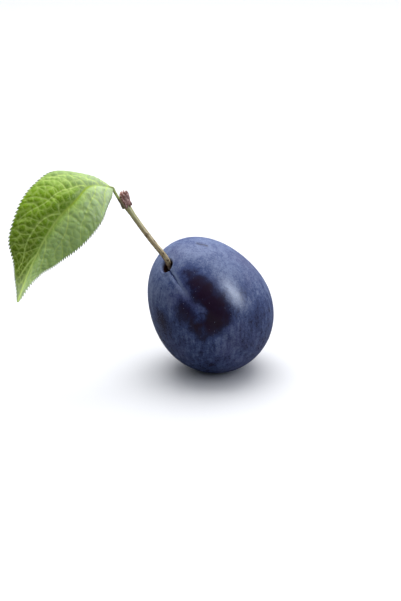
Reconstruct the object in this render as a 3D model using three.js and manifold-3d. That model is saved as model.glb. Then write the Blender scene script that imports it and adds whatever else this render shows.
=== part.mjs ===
// A ripe blue plum as picked: the fruit, its stalk, the stub of fruiting spur at the stalk's upper end
// and one leaf. Millimetres, +Z up, with the front seen looking along +Y and +X to the right.
// The origin lies on the small flat spot that the plum rests on, within 0.5 mm of its middle.

import * as THREE from "three";
import { mergeVertices } from "three/addons/utils/BufferGeometryUtils.js";
import Module from "manifold-3d";

// Fruit: an egg-like body whose long axis leans to the left
const BODY_CENTRE = new THREE.Vector3(-3.1, -0.7, 25.0);
const LONG_AXIS = new THREE.Vector3(-0.486, -0.089, 0.869).normalize();
const BODY_RADIUS = 22.15;
const STEM_HALF_LENGTH = 27.3;
const APEX_HALF_LENGTH = 27.0;
const SHOULDER_TAPER = 0.095;
const FRUIT_COLUMNS = 64;
const FRUIT_RINGS = 40;

// Stem cavity: it sits a little off the long axis, and the suture runs down from it
const CAVITY_DIRECTION = new THREE.Vector3(-0.597, -0.338, 0.728).normalize();
const SUTURE_DIRECTION = new THREE.Vector3(0.263, -0.931, -0.251).normalize();
const PIT_RADIUS = 2.35;
const PIT_DEPTH = 4.6;
const PIT_STEEPNESS = 10;
const DIMPLE_DEPTH = 0.9;
const DIMPLE_SPREAD = 5.0;
const SUTURE_DEPTH = 0.55;
const SUTURE_HALF_WIDTH = 2.3;
const SUTURE_END_ANGLE = 2.6;

// Route of the stalk from the floor of the pit to the tip of the spur
const STALK_ROUTE = [
  [-16.2, -7.9, 40.5],
  [-17.3, -8.3, 42.1],
  [-17.6, -8.9, 43.6],
  [-18.1, -10.0, 45.6],
  [-18.9, -10.8, 47.4],
  [-20.0, -11.4, 49.2],
  [-21.6, -12.1, 51.5],
  [-24.2, -12.1, 55.0],
  [-28.0, -11.9, 60.7],
  [-30.2, -11.6, 64.0],
  [-32.1, -11.1, 67.0],
  [-33.4, -10.4, 72.1],
];
const SPUR_LENGTH = 5.3;
const STALK_RADIUS = 0.95;
const STALK_TOP_SWELL = 0.27;
const STALK_FOOT_TAPER = 0.25;
const STALK_SIDES = 12;
const STALK_STEPS = 26;
const JOINT_GAP = 0.35;

// Spur stub: stacked bud-scale scars
const SPUR_RADIUS = 1.52;
const SPUR_SCARS = 5;
const SPUR_SCAR_RELIEF = 0.28;
const SPUR_LUMPS = 0.1;
const SPUR_SIDES = 16;
const SPUR_STEPS_PER_SCAR = 3;

// Leaf: three guide curves with matching stations, from the petiole to the tip
const MIDRIB = [
  [-37.1, -10.4, 73.1],
  [-41.0, -14.9, 76.2],
  [-45.1, -19.8, 77.0],
  [-49.5, -24.7, 73.3],
  [-55.1, -27.9, 68.2],
  [-59.4, -30.1, 62.1],
  [-63.1, -32.7, 55.5],
  [-66.0, -36.6, 49.9],
  [-68.4, -44.3, 43.6],
];
const LEFT_EDGE = [
  [-37.3, -10.3, 73.4],
  [-46.7, -7.0, 77.2],
  [-57.6, -11.4, 79.6],
  [-64.4, -18.9, 77.1],
  [-69.4, -23.9, 70.2],
  [-72.4, -27.8, 60.8],
  [-71.0, -31.5, 53.1],
  [-69.9, -35.9, 48.3],
  [-68.7, -44.3, 43.5],
];
const RIGHT_EDGE = [
  [-37.0, -10.5, 72.8],
  [-38.2, -19.7, 70.3],
  [-40.6, -25.2, 65.7],
  [-45.1, -28.4, 60.3],
  [-51.2, -30.0, 55.4],
  [-55.9, -31.1, 52.3],
  [-60.5, -33.4, 50.0],
  [-64.1, -37.3, 47.9],
  [-68.1, -44.4, 43.5],
];
const BLADE_THICKNESS = 0.65;
const BLADE_ARCH = 0.1;
const BLADE_COLUMNS = 6;
const TEETH_PER_SIDE = 48;
const TOOTH_OUT = 0.4;
const TOOTH_IN = 0.25;
const TOOTH_LEAN = 0.5;
const TOOTH_FADE = 0.05;

// Petiole, which runs on as the midrib's rib under the blade
const PETIOLE_FOOT = [
  [-35.1, -11.4, 68.4],
  [-36.1, -11.0, 70.6],
];
const PETIOLE_RADIUS = 0.5;
const RIB_TIP_RADIUS = 0.3;
const RIB_SINK = 0.35;
const RIB_END = 0.93;
const RIB_SIDES = 8;
const RIB_STEPS = 40;

const wasm = await Module();
wasm.setup();

function toVectors(points) {
  return points.map(([x, y, z]) => new THREE.Vector3(x, y, z));
}

function guideCurve(points) {
  return new THREE.CatmullRomCurve3(toVectors(points));
}

// Merges a geometry by position alone, as a closed solid needs
function weld(geometry) {
  const bare = geometry.clone();
  bare.deleteAttribute("normal");
  bare.deleteAttribute("uv");
  return mergeVertices(bare, 1e-4);
}

function toSolid(geometry) {
  const welded = weld(geometry);
  return new wasm.Manifold(new wasm.Mesh({
    numProp: 3,
    vertProperties: new Float32Array(welded.attributes.position.array),
    triVerts: new Uint32Array(welded.index.array),
  }));
}

function toGeometry(solid) {
  const mesh = solid.getMesh();
  const geometry = new THREE.BufferGeometry();
  geometry.setAttribute("position", new THREE.BufferAttribute(new Float32Array(mesh.vertProperties), 3));
  geometry.setIndex(new THREE.BufferAttribute(new Uint32Array(mesh.triVerts), 1));
  geometry.computeVertexNormals();
  return geometry;
}

function material(color, roughness) {
  return new THREE.MeshStandardMaterial({ color, roughness, metalness: 0 });
}

function part(name, geometry, finish) {
  const mesh = new THREE.Mesh(geometry, finish);
  mesh.name = name;
  return mesh;
}

// Distance from the body's centre to its plain skin in a direction
function bodyRadius(direction) {
  const along = direction.dot(LONG_AXIS);
  const across = 1 - along * along;
  const halfLength = along > 0 ? STEM_HALF_LENGTH : APEX_HALF_LENGTH;
  const ellipse = Math.sqrt(across / BODY_RADIUS ** 2 + along ** 2 / halfLength ** 2);
  return (1 - SHOULDER_TAPER * along * across) / ellipse;
}

// How far the skin is sunk below the plain body: the pit, its dimple and the suture's valley.
// The angle from the cavity and the turn round it, zero on the suture, say where.
function skinSink(angle, turn, radius) {
  const fromPit = radius * angle;
  const pit = PIT_DEPTH / (1 + (fromPit / PIT_RADIUS) ** PIT_STEEPNESS);
  const dimple = DIMPLE_DEPTH * Math.exp(-((fromPit / DIMPLE_SPREAD) ** 2));
  const aside = radius * Math.sin(angle) * Math.sin(turn);
  const onSutureSide = THREE.MathUtils.smoothstep(Math.cos(turn), -0.2, 0.6);
  const start = THREE.MathUtils.smoothstep(fromPit, PIT_RADIUS, 2 * PIT_RADIUS);
  const end = 1 - THREE.MathUtils.smoothstep(angle, SUTURE_END_ANGLE - 0.5, SUTURE_END_ANGLE);
  const valley = SUTURE_DEPTH * Math.exp(-((aside / SUTURE_HALF_WIDTH) ** 2));
  return pit + dimple + valley * onSutureSide * start * end;
}

// A sphere with its pole at the cavity, with closer rings there and closer columns at the suture
function fruitGeometry() {
  const geometry = new THREE.SphereGeometry(1, FRUIT_COLUMNS, FRUIT_RINGS);
  const position = geometry.attributes.position;
  const side = new THREE.Vector3().crossVectors(SUTURE_DIRECTION, CAVITY_DIRECTION).normalize();
  const suture = new THREE.Vector3().crossVectors(CAVITY_DIRECTION, side).normalize();
  const point = new THREE.Vector3();
  const columns = FRUIT_COLUMNS + 1;
  for (let i = 0; i < position.count; i += 1) {
    const ring = Math.floor(i / columns) / FRUIT_RINGS;
    const column = (i % columns) / FRUIT_COLUMNS;
    const angle = Math.PI * ring * (0.3 + 0.7 * ring);
    const evenTurn = 2 * Math.PI * column;
    const turn = evenTurn - 0.6 * Math.sin(evenTurn);
    point.copy(CAVITY_DIRECTION).multiplyScalar(Math.cos(angle));
    point.addScaledVector(suture, Math.sin(angle) * Math.cos(turn));
    point.addScaledVector(side, -Math.sin(angle) * Math.sin(turn));
    const radius = bodyRadius(point);
    point.multiplyScalar(radius - skinSink(angle, turn, radius));
    position.setXYZ(i, point.x, point.y, point.z);
  }
  return geometry;
}

// The fruit, with the small flat spot that it rests on cut level
function makeFruit() {
  const slabHeight = 10;
  const slabSide = 60;
  const slab = new THREE.BoxGeometry(slabSide, slabSide, slabHeight);
  slab.translate(-BODY_CENTRE.x, -BODY_CENTRE.y, -BODY_CENTRE.z - slabHeight / 2);
  const solid = toSolid(fruitGeometry()).subtract(toSolid(slab));
  const mesh = part("fruit", toGeometry(solid), material(0x4a5278, 0.45));
  mesh.position.copy(BODY_CENTRE);
  return mesh;
}

// A round bar bent along a stretch of a route, with its radius given along and round it
function bentBar(route, from, to, radiusAt, sides, steps) {
  const geometry = new THREE.CylinderGeometry(1, 1, 1, sides, steps);
  const position = geometry.attributes.position;
  const centres = [];
  const normals = [];
  const binormals = [];
  let normal = new THREE.Vector3(0, -1, 0);
  for (let step = 0; step <= steps; step += 1) {
    const at = from + (to - from) * (step / steps);
    const tangent = route.getTangentAt(at);
    normal = normal.clone().addScaledVector(tangent, -normal.dot(tangent)).normalize();
    centres.push(route.getPointAt(at));
    normals.push(normal);
    binormals.push(new THREE.Vector3().crossVectors(normal, tangent));
  }
  const point = new THREE.Vector3();
  for (let i = 0; i < position.count; i += 1) {
    const step = Math.round((position.getY(i) + 0.5) * steps);
    const turn = Math.atan2(position.getZ(i), position.getX(i));
    const radius = radiusAt(step / steps, turn);
    point.copy(centres[step]);
    point.addScaledVector(normals[step], position.getX(i) * radius);
    point.addScaledVector(binormals[step], position.getZ(i) * radius);
    position.setXYZ(i, point.x, point.y, point.z);
  }
  return geometry;
}

// The stalk thickens where it leaves the spur and narrows to its foot in the pit
function makeStalk() {
  const route = guideCurve(STALK_ROUTE);
  function radiusAt(along) {
    const top = STALK_TOP_SWELL * THREE.MathUtils.smoothstep(along, 0.85, 1);
    const foot = STALK_FOOT_TAPER * (1 - THREE.MathUtils.smoothstep(along, 0, 0.2));
    return STALK_RADIUS + top - foot;
  }
  const end = 1 - SPUR_LENGTH / route.getLength();
  const geometry = bentBar(route, 0, end, radiusAt, STALK_SIDES, STALK_STEPS);
  return part("stalk", weld(geometry), material(0x9c9a62, 0.6));
}

// The spur's scars lie over each other like stacked collars, with uneven rims
function makeSpur() {
  const route = guideCurve(STALK_ROUTE);
  const start = 1 - (SPUR_LENGTH - JOINT_GAP) / route.getLength();
  const steps = SPUR_SCARS * SPUR_STEPS_PER_SCAR;
  function radiusAt(along, turn) {
    const scar = along * SPUR_SCARS;
    const collar = SPUR_SCAR_RELIEF * (Math.ceil(scar) - scar);
    const lump = SPUR_LUMPS * Math.sin(3 * turn + 1.7 * Math.ceil(scar));
    const dome = Math.sqrt(1 - 0.55 * along ** 6);
    return (SPUR_RADIUS + collar + lump) * dome;
  }
  const geometry = bentBar(route, start, 1, radiusAt, SPUR_SIDES, steps);
  return part("spur", weld(geometry), material(0x6f4a44, 0.85));
}

// A point of the blade's middle surface: along from petiole to tip, across from -1 on the left edge
// to 1 on the right edge. Each half arches a little between the midrib and its edge.
function bladePoint(guides, along, across) {
  const midrib = guides.midrib.getPoint(along);
  const edge = (across < 0 ? guides.left : guides.right).getPoint(along);
  const span = new THREE.Vector3().subVectors(guides.right.getPoint(along), guides.left.getPoint(along));
  const up = new THREE.Vector3().crossVectors(guides.midrib.getTangent(along), span).normalize();
  const reach = Math.abs(across);
  const width = midrib.distanceTo(edge);
  const point = midrib.lerp(edge, reach);
  return point.addScaledVector(up, 4 * BLADE_ARCH * width * reach * (1 - reach));
}

function bladeNormal(guides, along, across) {
  const step = 0.01;
  const before = bladePoint(guides, Math.max(along - step, 0), across);
  const after = bladePoint(guides, Math.min(along + step, 1), across);
  const left = bladePoint(guides, along, Math.max(across - 0.2, -1));
  const right = bladePoint(guides, along, Math.min(across + 0.2, 1));
  return new THREE.Vector3().crossVectors(after.sub(before), right.sub(left)).normalize();
}

// Rows alternate between the notches and the points of the teeth, which lean towards the tip
function bladeGridPoint(guides, row, column, rows) {
  const along = row / rows;
  const across = (2 * column) / BLADE_COLUMNS - 1;
  const atEdge = column === 0 || column === BLADE_COLUMNS;
  const fade = THREE.MathUtils.smoothstep(Math.min(along, 1 - along), 0, TOOTH_FADE);
  if (!atEdge || fade === 0) {
    return { along, across };
  }
  const edge = (across < 0 ? guides.left : guides.right).getPoint(along);
  const width = Math.max(guides.midrib.getPoint(along).distanceTo(edge), 1);
  const isPoint = row % 2 === 1;
  const outward = isPoint ? TOOTH_OUT : -TOOTH_IN;
  const lean = isPoint ? TOOTH_LEAN / rows : 0;
  return { along: along + lean * fade, across: across * (1 + (outward * fade) / width) };
}

// The serrated blade: two faces split alike into triangles, joined by a rim
function bladeGeometry(guides) {
  const rows = 2 * TEETH_PER_SIDE;
  const columns = BLADE_COLUMNS + 1;
  const faceCount = (rows + 1) * columns;
  const positions = new Float32Array(2 * faceCount * 3);
  for (let row = 0; row <= rows; row += 1) {
    for (let column = 0; column < columns; column += 1) {
      const { along, across } = bladeGridPoint(guides, row, column, rows);
      const middle = bladePoint(guides, along, across);
      const normal = bladeNormal(guides, along, across);
      const index = row * columns + column;
      const upper = middle.clone().addScaledVector(normal, BLADE_THICKNESS / 2);
      const lower = middle.clone().addScaledVector(normal, -BLADE_THICKNESS / 2);
      upper.toArray(positions, 3 * index);
      lower.toArray(positions, 3 * (faceCount + index));
    }
  }
  const indices = [];
  function addQuad(a, b, c, d) {
    indices.push(a, b, c, a, c, d);
  }
  for (let row = 0; row < rows; row += 1) {
    for (let column = 0; column < BLADE_COLUMNS; column += 1) {
      const a = row * columns + column;
      const b = a + 1;
      const c = b + columns;
      const d = a + columns;
      addQuad(a, d, c, b);
      addQuad(faceCount + a, faceCount + b, faceCount + c, faceCount + d);
    }
    const left = row * columns;
    const right = left + BLADE_COLUMNS;
    addQuad(left, faceCount + left, faceCount + left + columns, left + columns);
    addQuad(right, right + columns, faceCount + right + columns, faceCount + right);
  }
  const last = rows * columns;
  for (let column = 0; column < BLADE_COLUMNS; column += 1) {
    addQuad(column, column + 1, faceCount + column + 1, faceCount + column);
    addQuad(last + column, faceCount + last + column, faceCount + last + column + 1, last + column + 1);
  }
  const geometry = new THREE.BufferGeometry();
  geometry.setAttribute("position", new THREE.BufferAttribute(positions, 3));
  geometry.setIndex(indices);
  return geometry;
}

// The petiole and the rib that it becomes under the blade
function ribGeometry(guides) {
  const points = toVectors(PETIOLE_FOOT);
  const stations = 2 * (MIDRIB.length - 1);
  for (let i = 0; i <= stations; i += 1) {
    const along = (RIB_END * i) / stations;
    const normal = bladeNormal(guides, along, 0);
    const sink = RIB_SINK * THREE.MathUtils.smoothstep(along, 0, 0.1);
    points.push(guides.midrib.getPoint(along).addScaledVector(normal, -sink));
  }
  const route = new THREE.CatmullRomCurve3(points);
  function radiusAt(along) {
    return THREE.MathUtils.lerp(PETIOLE_RADIUS, RIB_TIP_RADIUS, along);
  }
  return bentBar(route, 0, 1, radiusAt, RIB_SIDES, RIB_STEPS);
}

function makeLeaf() {
  const guides = {
    midrib: guideCurve(MIDRIB),
    left: guideCurve(LEFT_EDGE),
    right: guideCurve(RIGHT_EDGE),
  };
  const blade = toSolid(bladeGeometry(guides));
  const rib = toSolid(ribGeometry(guides));
  return part("leaf", toGeometry(blade.add(rib)), material(0x6b8a3c, 0.55));
}

const plum = new THREE.Group();
plum.add(makeFruit(), makeStalk(), makeSpur(), makeLeaf());

export default plum;
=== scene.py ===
import math

import bpy
import numpy as np
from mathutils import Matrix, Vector
from mathutils.kdtree import KDTree


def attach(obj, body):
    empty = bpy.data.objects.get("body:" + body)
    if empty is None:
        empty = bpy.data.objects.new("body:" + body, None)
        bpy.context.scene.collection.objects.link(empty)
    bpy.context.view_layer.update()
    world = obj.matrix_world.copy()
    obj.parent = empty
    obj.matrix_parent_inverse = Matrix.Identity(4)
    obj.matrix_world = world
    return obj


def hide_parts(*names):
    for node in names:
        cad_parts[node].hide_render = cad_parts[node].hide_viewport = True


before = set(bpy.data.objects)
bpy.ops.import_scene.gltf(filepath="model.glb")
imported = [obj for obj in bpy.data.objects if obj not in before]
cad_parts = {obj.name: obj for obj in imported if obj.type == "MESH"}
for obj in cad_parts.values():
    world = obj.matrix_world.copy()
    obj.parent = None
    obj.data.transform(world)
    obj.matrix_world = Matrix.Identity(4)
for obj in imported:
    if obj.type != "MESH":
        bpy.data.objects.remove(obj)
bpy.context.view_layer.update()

bl_info = {
    "name": "Blue plum",
    "version": (1, 0, 0),
    "blender": (4, 5, 0),
    "location": "3D View > Sidebar > Plum",
    "description": "Dresses the solid frame of a ripe blue plum: skin and bloom, stalk, spur stub and leaf",
    "category": "Object",
}

MM = 0.001

# Fruit: the egg-like body, cavity and suture of the solid, with a steeper wall to the pit, in metres
BODY_CENTRE = Vector((-3.1, -0.7, 25.0)) * MM
LONG_AXIS = Vector((-0.486, -0.089, 0.869)).normalized()
CAVITY_DIRECTION = Vector((-0.597, -0.338, 0.728)).normalized()
SUTURE_DIRECTION = Vector((0.263, -0.931, -0.251)).normalized()
APEX_TO_STEM = 27.0 / 27.3
SHOULDER_TAPER = 0.095
PIT_STEEPNESS = 18
SUTURE_END_ANGLE = 2.6

# What the fruit's and the spur's trees take, in the words of their settings
FRUIT_COUNTS = ("Columns", "Rings")
FRUIT_MEASURES = (
    "Body radius", "Stem half length", "Pit radius", "Pit depth", "Dimple depth", "Dimple spread",
    "Suture depth", "Suture half width", "Crease depth", "Lump height", "Flat edge",
)
SPUR_COUNTS = ("Whorls", "Scales per whorl", "Seed")
SPUR_MEASURES = ("Core radius", "Scale length", "Scale width")

# The sharp fold near the pit and the skin raised beside it: half widths and heights in metres
FOLD_WAVER = 0.0009
FOLD_HALF_WIDTH = 0.00024
# Half width of the painted shade along the fold
FOLD_SHADE_HALF_WIDTH = 0.00048
# Half width of the painted highlight on the lip beside the fold
LIP_HIGHLIGHT_HALF_WIDTH = 0.0012
PIT_RIM_DISTANCE = 0.0031
PIT_RIM_HEIGHT = 0.00012
SCRATCH_DEPTH = 0.00032
SCRATCH_HALF_WIDTH = 0.00045
SCRATCH_MARK_HALF_WIDTH = 0.0007

# A healed scratch near the top of the fruit, from its dent to its thin end
SCRATCH_START = Vector((-7.4, -4.8, 50.6)) * MM
SCRATCH_END = Vector((-4.0, -5.6, 49.9)) * MM

# Where the bloom is rubbed off the skin: each patch's place and radius in millimetres, and how bare it is
RUBBED_PATCHES = [
    ((-9.4, -16.4, 42.8), 3.0, 0.75),
    ((-5.4, -16.6, 42.0), 3.4, 0.3),
    ((-7.0, -18.3, 40.0), 4.2, 0.95),
    ((-3.4, -18.9, 38.4), 3.8, 0.75),
    ((-4.9, -19.6, 37.4), 4.8, 1.0),
    ((-1.6, -21.0, 33.5), 5.4, 1.0),
    ((-0.6, -21.9, 28.5), 5.6, 1.0),
    ((-5.0, -22.3, 26.5), 6.0, 1.0),
    ((-11.5, -20.9, 29.8), 4.2, 0.85),
    ((-20.0, -14.5, 23.0), 4.2, 0.6),
    ((9.5, -14.6, 36.4), 3.6, 0.35),
    ((13.5, -14.0, 27.0), 4.5, 0.35),
    ((-2.0, 20.5, 31.0), 6.5, 0.8),
    ((-12.0, 17.5, 27.0), 4.5, 0.5),
    ((17.0, 8.0, 22.0), 5.0, 0.45),
]
# Bloom that stayed inside the rubbed part, in the same form
BLOOM_ISLANDS = [
    ((-11.0, -18.7, 37.9), 1.9, 0.7),
    ((-6.7, -21.5, 31.0), 2.5, 1.0),
    ((-6.6, -22.0, 27.6), 1.7, 0.6),
    ((-5.2, -22.4, 23.6), 1.6, 0.5),
]

# Route of the stalk from the floor of the pit to the tip of the spur, in millimetres
STALK_ROUTE = [
    (-16.2, -7.9, 40.5),
    (-17.3, -8.3, 42.1),
    (-17.6, -8.9, 43.6),
    (-18.1, -10.0, 45.6),
    (-18.9, -10.8, 47.4),
    (-20.0, -11.4, 49.2),
    (-21.6, -12.1, 51.5),
    (-24.2, -12.1, 55.0),
    (-28.2, -11.9, 60.7),
    (-30.4, -11.6, 64.0),
    (-32.3, -11.1, 67.0),
    (-33.4, -10.4, 72.1),
]
SPUR_LENGTH = 5.3
STALK_INTO_SPUR = 0.5
SPUR_CORE_START = 0.3
SPUR_CORE_END = 0.973

# Leaf: three guide curves with matching stations from the petiole to the tip, in millimetres
MIDRIB = [
    (-37.1, -10.4, 73.1),
    (-41.0, -14.9, 76.2),
    (-45.1, -19.8, 77.0),
    (-49.5, -24.7, 73.3),
    (-55.1, -27.9, 68.2),
    (-59.4, -30.1, 62.1),
    (-63.1, -32.7, 55.5),
    (-66.0, -36.6, 49.9),
    (-68.4, -44.3, 43.6),
]
LEFT_EDGE = [
    (-37.3, -10.3, 73.4),
    (-46.7, -7.0, 77.2),
    (-57.6, -11.4, 79.6),
    (-64.4, -18.9, 77.1),
    (-69.4, -23.9, 70.2),
    (-72.4, -27.8, 60.8),
    (-71.0, -31.5, 53.1),
    (-69.9, -35.9, 48.3),
    (-68.7, -44.3, 43.5),
]
RIGHT_EDGE = [
    (-37.0, -10.5, 72.8),
    (-38.2, -19.7, 70.3),
    (-40.6, -25.2, 65.7),
    (-45.1, -28.4, 60.3),
    (-51.2, -30.0, 55.4),
    (-55.9, -31.1, 52.3),
    (-60.5, -33.4, 50.0),
    (-64.1, -37.3, 47.9),
    (-68.1, -44.4, 43.5),
]
PETIOLE_FOOT = [
    (-33.1, -12.8, 66.6),
    (-34.0, -12.9, 68.3),
    (-34.9, -12.4, 69.7),
    (-35.6, -11.7, 70.7),
    (-36.4, -11.0, 71.8),
]
BLADE_ARCH = 0.1
BLADE_END = 0.12
RIB_SINK = 0.35
RIB_END = 0.93

# Half widths in metres: of the valleys round the veins, of the veins as the colour shows them, and of the
# ridges that they form beneath
MAIN_VALLEY = 0.0017
BRANCH_VALLEY = 0.0010
NET_VALLEY = 0.00034
MIDRIB_VALLEY = 0.0016
MIDRIB_CHANNEL = 0.0008
MAIN_VEIN = 0.00028
BRANCH_VEIN = 0.00022
NET_VEIN = 0.00017
MAIN_RIDGE = 0.00035
BRANCH_RIDGE = 0.00028

# The net of small cells: its lengths in metres, and how far it is turned and drawn out across the laterals
NET_LENGTH = 0.060
NET_HALF_WIDTH = 0.0135
NET_PITCH = 0.0017
NET_JITTER = 0.38
NET_STRETCH = 1.9
NET_TURN = math.radians(42)
NET_SIDE_GAP = 0.1

# Softboxes, in metres
STRIP_DIRECTION = Vector((0.75, -0.43, 0.49)).normalized()
STRIP_DISTANCE = 0.55
STRIP_SIZE = (0.038, 0.20)
STRIP_TINT = (0.80, 0.88, 1.0)
TOP_LIGHT_PLACE = (0.0, 0.25, 0.75)
TOP_LIGHT_SIZE = (0.9, 0.7)
WHITE = (1.0, 1.0, 1.0, 1.0)

# Veins, as places on the blade: along it from 0 to 1, and across it from -1, its left edge, to 1
LATERALS = [
    [(0.03, -0.03), (0.07, -0.30), (0.13, -0.60), (0.20, -0.90)],
    [(0.13, -0.03), (0.17, -0.20), (0.22, -0.45), (0.27, -0.72), (0.31, -0.92)],
    [(0.25, -0.04), (0.28, -0.15), (0.32, -0.26), (0.37, -0.42), (0.44, -0.49), (0.49, -0.66), (0.55, -0.90)],
    [
        (0.475, -0.03), (0.50, -0.21), (0.54, -0.33), (0.61, -0.43), (0.70, -0.52), (0.75, -0.55),
        (0.81, -0.82),
    ],
    [(0.74, -0.02), (0.77, -0.18), (0.82, -0.38), (0.87, -0.70)],
    [(0.86, -0.02), (0.88, -0.20), (0.91, -0.50)],
    [(0.05, 0.03), (0.09, 0.30), (0.15, 0.60), (0.20, 0.90)],
    [
        (0.17, 0.03), (0.20, 0.14), (0.24, 0.34), (0.30, 0.42), (0.35, 0.53), (0.38, 0.59),
        (0.405, 0.75), (0.42, 0.92),
    ],
    [(0.425, 0.02), (0.44, 0.18), (0.46, 0.34), (0.49, 0.48), (0.53, 0.56), (0.535, 0.70), (0.56, 0.92)],
    [(0.635, 0.02), (0.645, 0.16), (0.67, 0.33), (0.70, 0.47), (0.73, 0.58), (0.76, 0.90)],
    [(0.80, 0.02), (0.82, 0.20), (0.84, 0.42), (0.87, 0.75)],
    [(0.89, 0.02), (0.905, 0.25), (0.92, 0.60)],
]
BRANCHES = [
    [(0.10, -0.43), (0.12, -0.55), (0.15, -0.85)],
    [(0.19, -0.30), (0.185, -0.55), (0.20, -0.80)],
    [(0.25, -0.03), (0.245, -0.22), (0.25, -0.45), (0.24, -0.62)],
    [(0.31, -0.24), (0.295, -0.38), (0.285, -0.58), (0.29, -0.85)],
    [(0.335, -0.34), (0.32, -0.50), (0.315, -0.68), (0.33, -0.90)],
    [(0.37, -0.42), (0.355, -0.56), (0.36, -0.75), (0.38, -0.92)],
    [(0.42, -0.48), (0.425, -0.62), (0.43, -0.78), (0.45, -0.94)],
    [(0.47, -0.60), (0.46, -0.72), (0.475, -0.93)],
    [(0.47, -0.05), (0.45, -0.15), (0.42, -0.24), (0.405, -0.44)],
    [(0.54, -0.33), (0.535, -0.50), (0.53, -0.64), (0.545, -0.82)],
    [(0.58, -0.39), (0.575, -0.55), (0.565, -0.72), (0.58, -0.90)],
    [(0.61, -0.43), (0.61, -0.60), (0.605, -0.72), (0.59, -0.84)],
    [(0.607, -0.70), (0.625, -0.78), (0.63, -0.92)],
    [(0.66, -0.48), (0.665, -0.68), (0.655, -0.82), (0.67, -0.94)],
    [(0.71, -0.53), (0.705, -0.70), (0.72, -0.88)],
    [(0.53, -0.02), (0.53, -0.12), (0.515, -0.25)],
    [(0.58, -0.02), (0.57, -0.14), (0.56, -0.34)],
    [(0.635, -0.02), (0.63, -0.18), (0.64, -0.43)],
    [(0.69, -0.02), (0.70, -0.22), (0.71, -0.50)],
    [(0.12, 0.45), (0.14, 0.62), (0.15, 0.85)],
    [(0.24, 0.34), (0.235, 0.50), (0.22, 0.70), (0.23, 0.90)],
    [(0.295, 0.42), (0.285, 0.56), (0.28, 0.72), (0.29, 0.92)],
    [(0.345, 0.52), (0.33, 0.62), (0.315, 0.72), (0.32, 0.90)],
    [(0.38, 0.60), (0.37, 0.72), (0.355, 0.82), (0.36, 0.95)],
    [(0.435, 0.16), (0.42, 0.26), (0.405, 0.40), (0.39, 0.56)],
    [(0.485, 0.49), (0.475, 0.64), (0.485, 0.76), (0.48, 0.92)],
    [(0.53, 0.57), (0.575, 0.60), (0.61, 0.68), (0.62, 0.88)],
    [(0.395, 0.03), (0.385, 0.16), (0.36, 0.30), (0.33, 0.44)],
    [(0.31, 0.03), (0.30, 0.16), (0.28, 0.38)],
    [(0.56, 0.02), (0.555, 0.14), (0.53, 0.32), (0.51, 0.50)],
    [(0.655, 0.24), (0.63, 0.36), (0.61, 0.50), (0.60, 0.64)],
    [(0.70, 0.47), (0.68, 0.62), (0.69, 0.88)],
    [(0.72, 0.02), (0.725, 0.20), (0.72, 0.40)],
]


def metres(points):
    """Points given in millimetres, as an array in metres."""
    return np.array(points, float) * MM


# Curves


def curve_points(points, stations):
    """Points on the smooth curve through the given points, at stations from 0 to 1, of which every span of
    the curve gets an equal share."""
    points = np.asarray(points, float)
    spans = len(points) - 1
    place = np.clip(np.asarray(stations, float), 0, 1) * spans
    first = np.minimum(np.floor(place).astype(int), spans - 1)
    share = (place - first)[..., None]
    ends = np.vstack([2 * points[0] - points[1], points, 2 * points[-1] - points[-2]])
    before, start, end, after = (ends[first + i] for i in range(4))
    gap_before = root_distance(before, start)
    gap = root_distance(start, end)
    gap_after = root_distance(end, after)
    leave = (start - before) / gap_before - (end - before) / (gap_before + gap) + (end - start) / gap
    arrive = (end - start) / gap - (after - start) / (gap + gap_after) + (after - end) / gap_after
    leave = leave * gap
    arrive = arrive * gap
    square = 3 * (end - start) - 2 * leave - arrive
    cube = 2 * (start - end) + leave + arrive
    return start + leave * share + square * share**2 + cube * share**3


def root_distance(a, b):
    """The square root of the distance between points, which keeps a curve through uneven points smooth."""
    return np.maximum(np.linalg.norm(b - a, axis=-1, keepdims=True), 1e-9) ** 0.5


def even_route(points, start, end, count):
    """Evenly spaced points on a stretch of a curve, with the stretch given as shares of its length."""
    fine = curve_points(points, np.linspace(0, 1, 2000))
    length = np.concatenate([[0], np.cumsum(np.linalg.norm(np.diff(fine, axis=0), axis=1))])
    wanted = np.linspace(start, end, count) * length[-1]
    return np.stack([np.interp(wanted, length, fine[:, axis]) for axis in range(3)], axis=1)


def route_length(points):
    fine = curve_points(points, np.linspace(0, 1, 2000))
    return float(np.linalg.norm(np.diff(fine, axis=0), axis=1).sum())


def unit(vectors):
    return vectors / np.maximum(np.linalg.norm(vectors, axis=-1, keepdims=True), 1e-12)


def smooth(value, low, high):
    """0 below low, 1 above high and a smooth rise between them."""
    share = np.clip((value - low) / (high - low), 0, 1)
    return share * share * (3 - 2 * share)


# Node trees


def is_vector(value):
    if isinstance(value, Wire):
        return value.socket.type == "VECTOR"
    return not isinstance(value, (int, float))


class Wire:
    """An output socket that takes part in arithmetic: each operation adds the Math node that does it."""

    def __init__(self, graph, socket):
        self.graph = graph
        self.socket = socket

    def __add__(self, other):
        return self.graph.maths("ADD", self, other)

    def __radd__(self, other):
        return self.graph.maths("ADD", other, self)

    def __sub__(self, other):
        return self.graph.maths("SUBTRACT", self, other)

    def __rsub__(self, other):
        return self.graph.maths("SUBTRACT", other, self)

    def __mul__(self, other):
        return self.graph.maths("MULTIPLY", self, other)

    def __rmul__(self, other):
        return self.graph.maths("MULTIPLY", other, self)

    def __truediv__(self, other):
        return self.graph.maths("DIVIDE", self, other)

    def __rtruediv__(self, other):
        return self.graph.maths("DIVIDE", other, self)

    def __pow__(self, other):
        return self.graph.maths("POWER", self, other)


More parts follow.
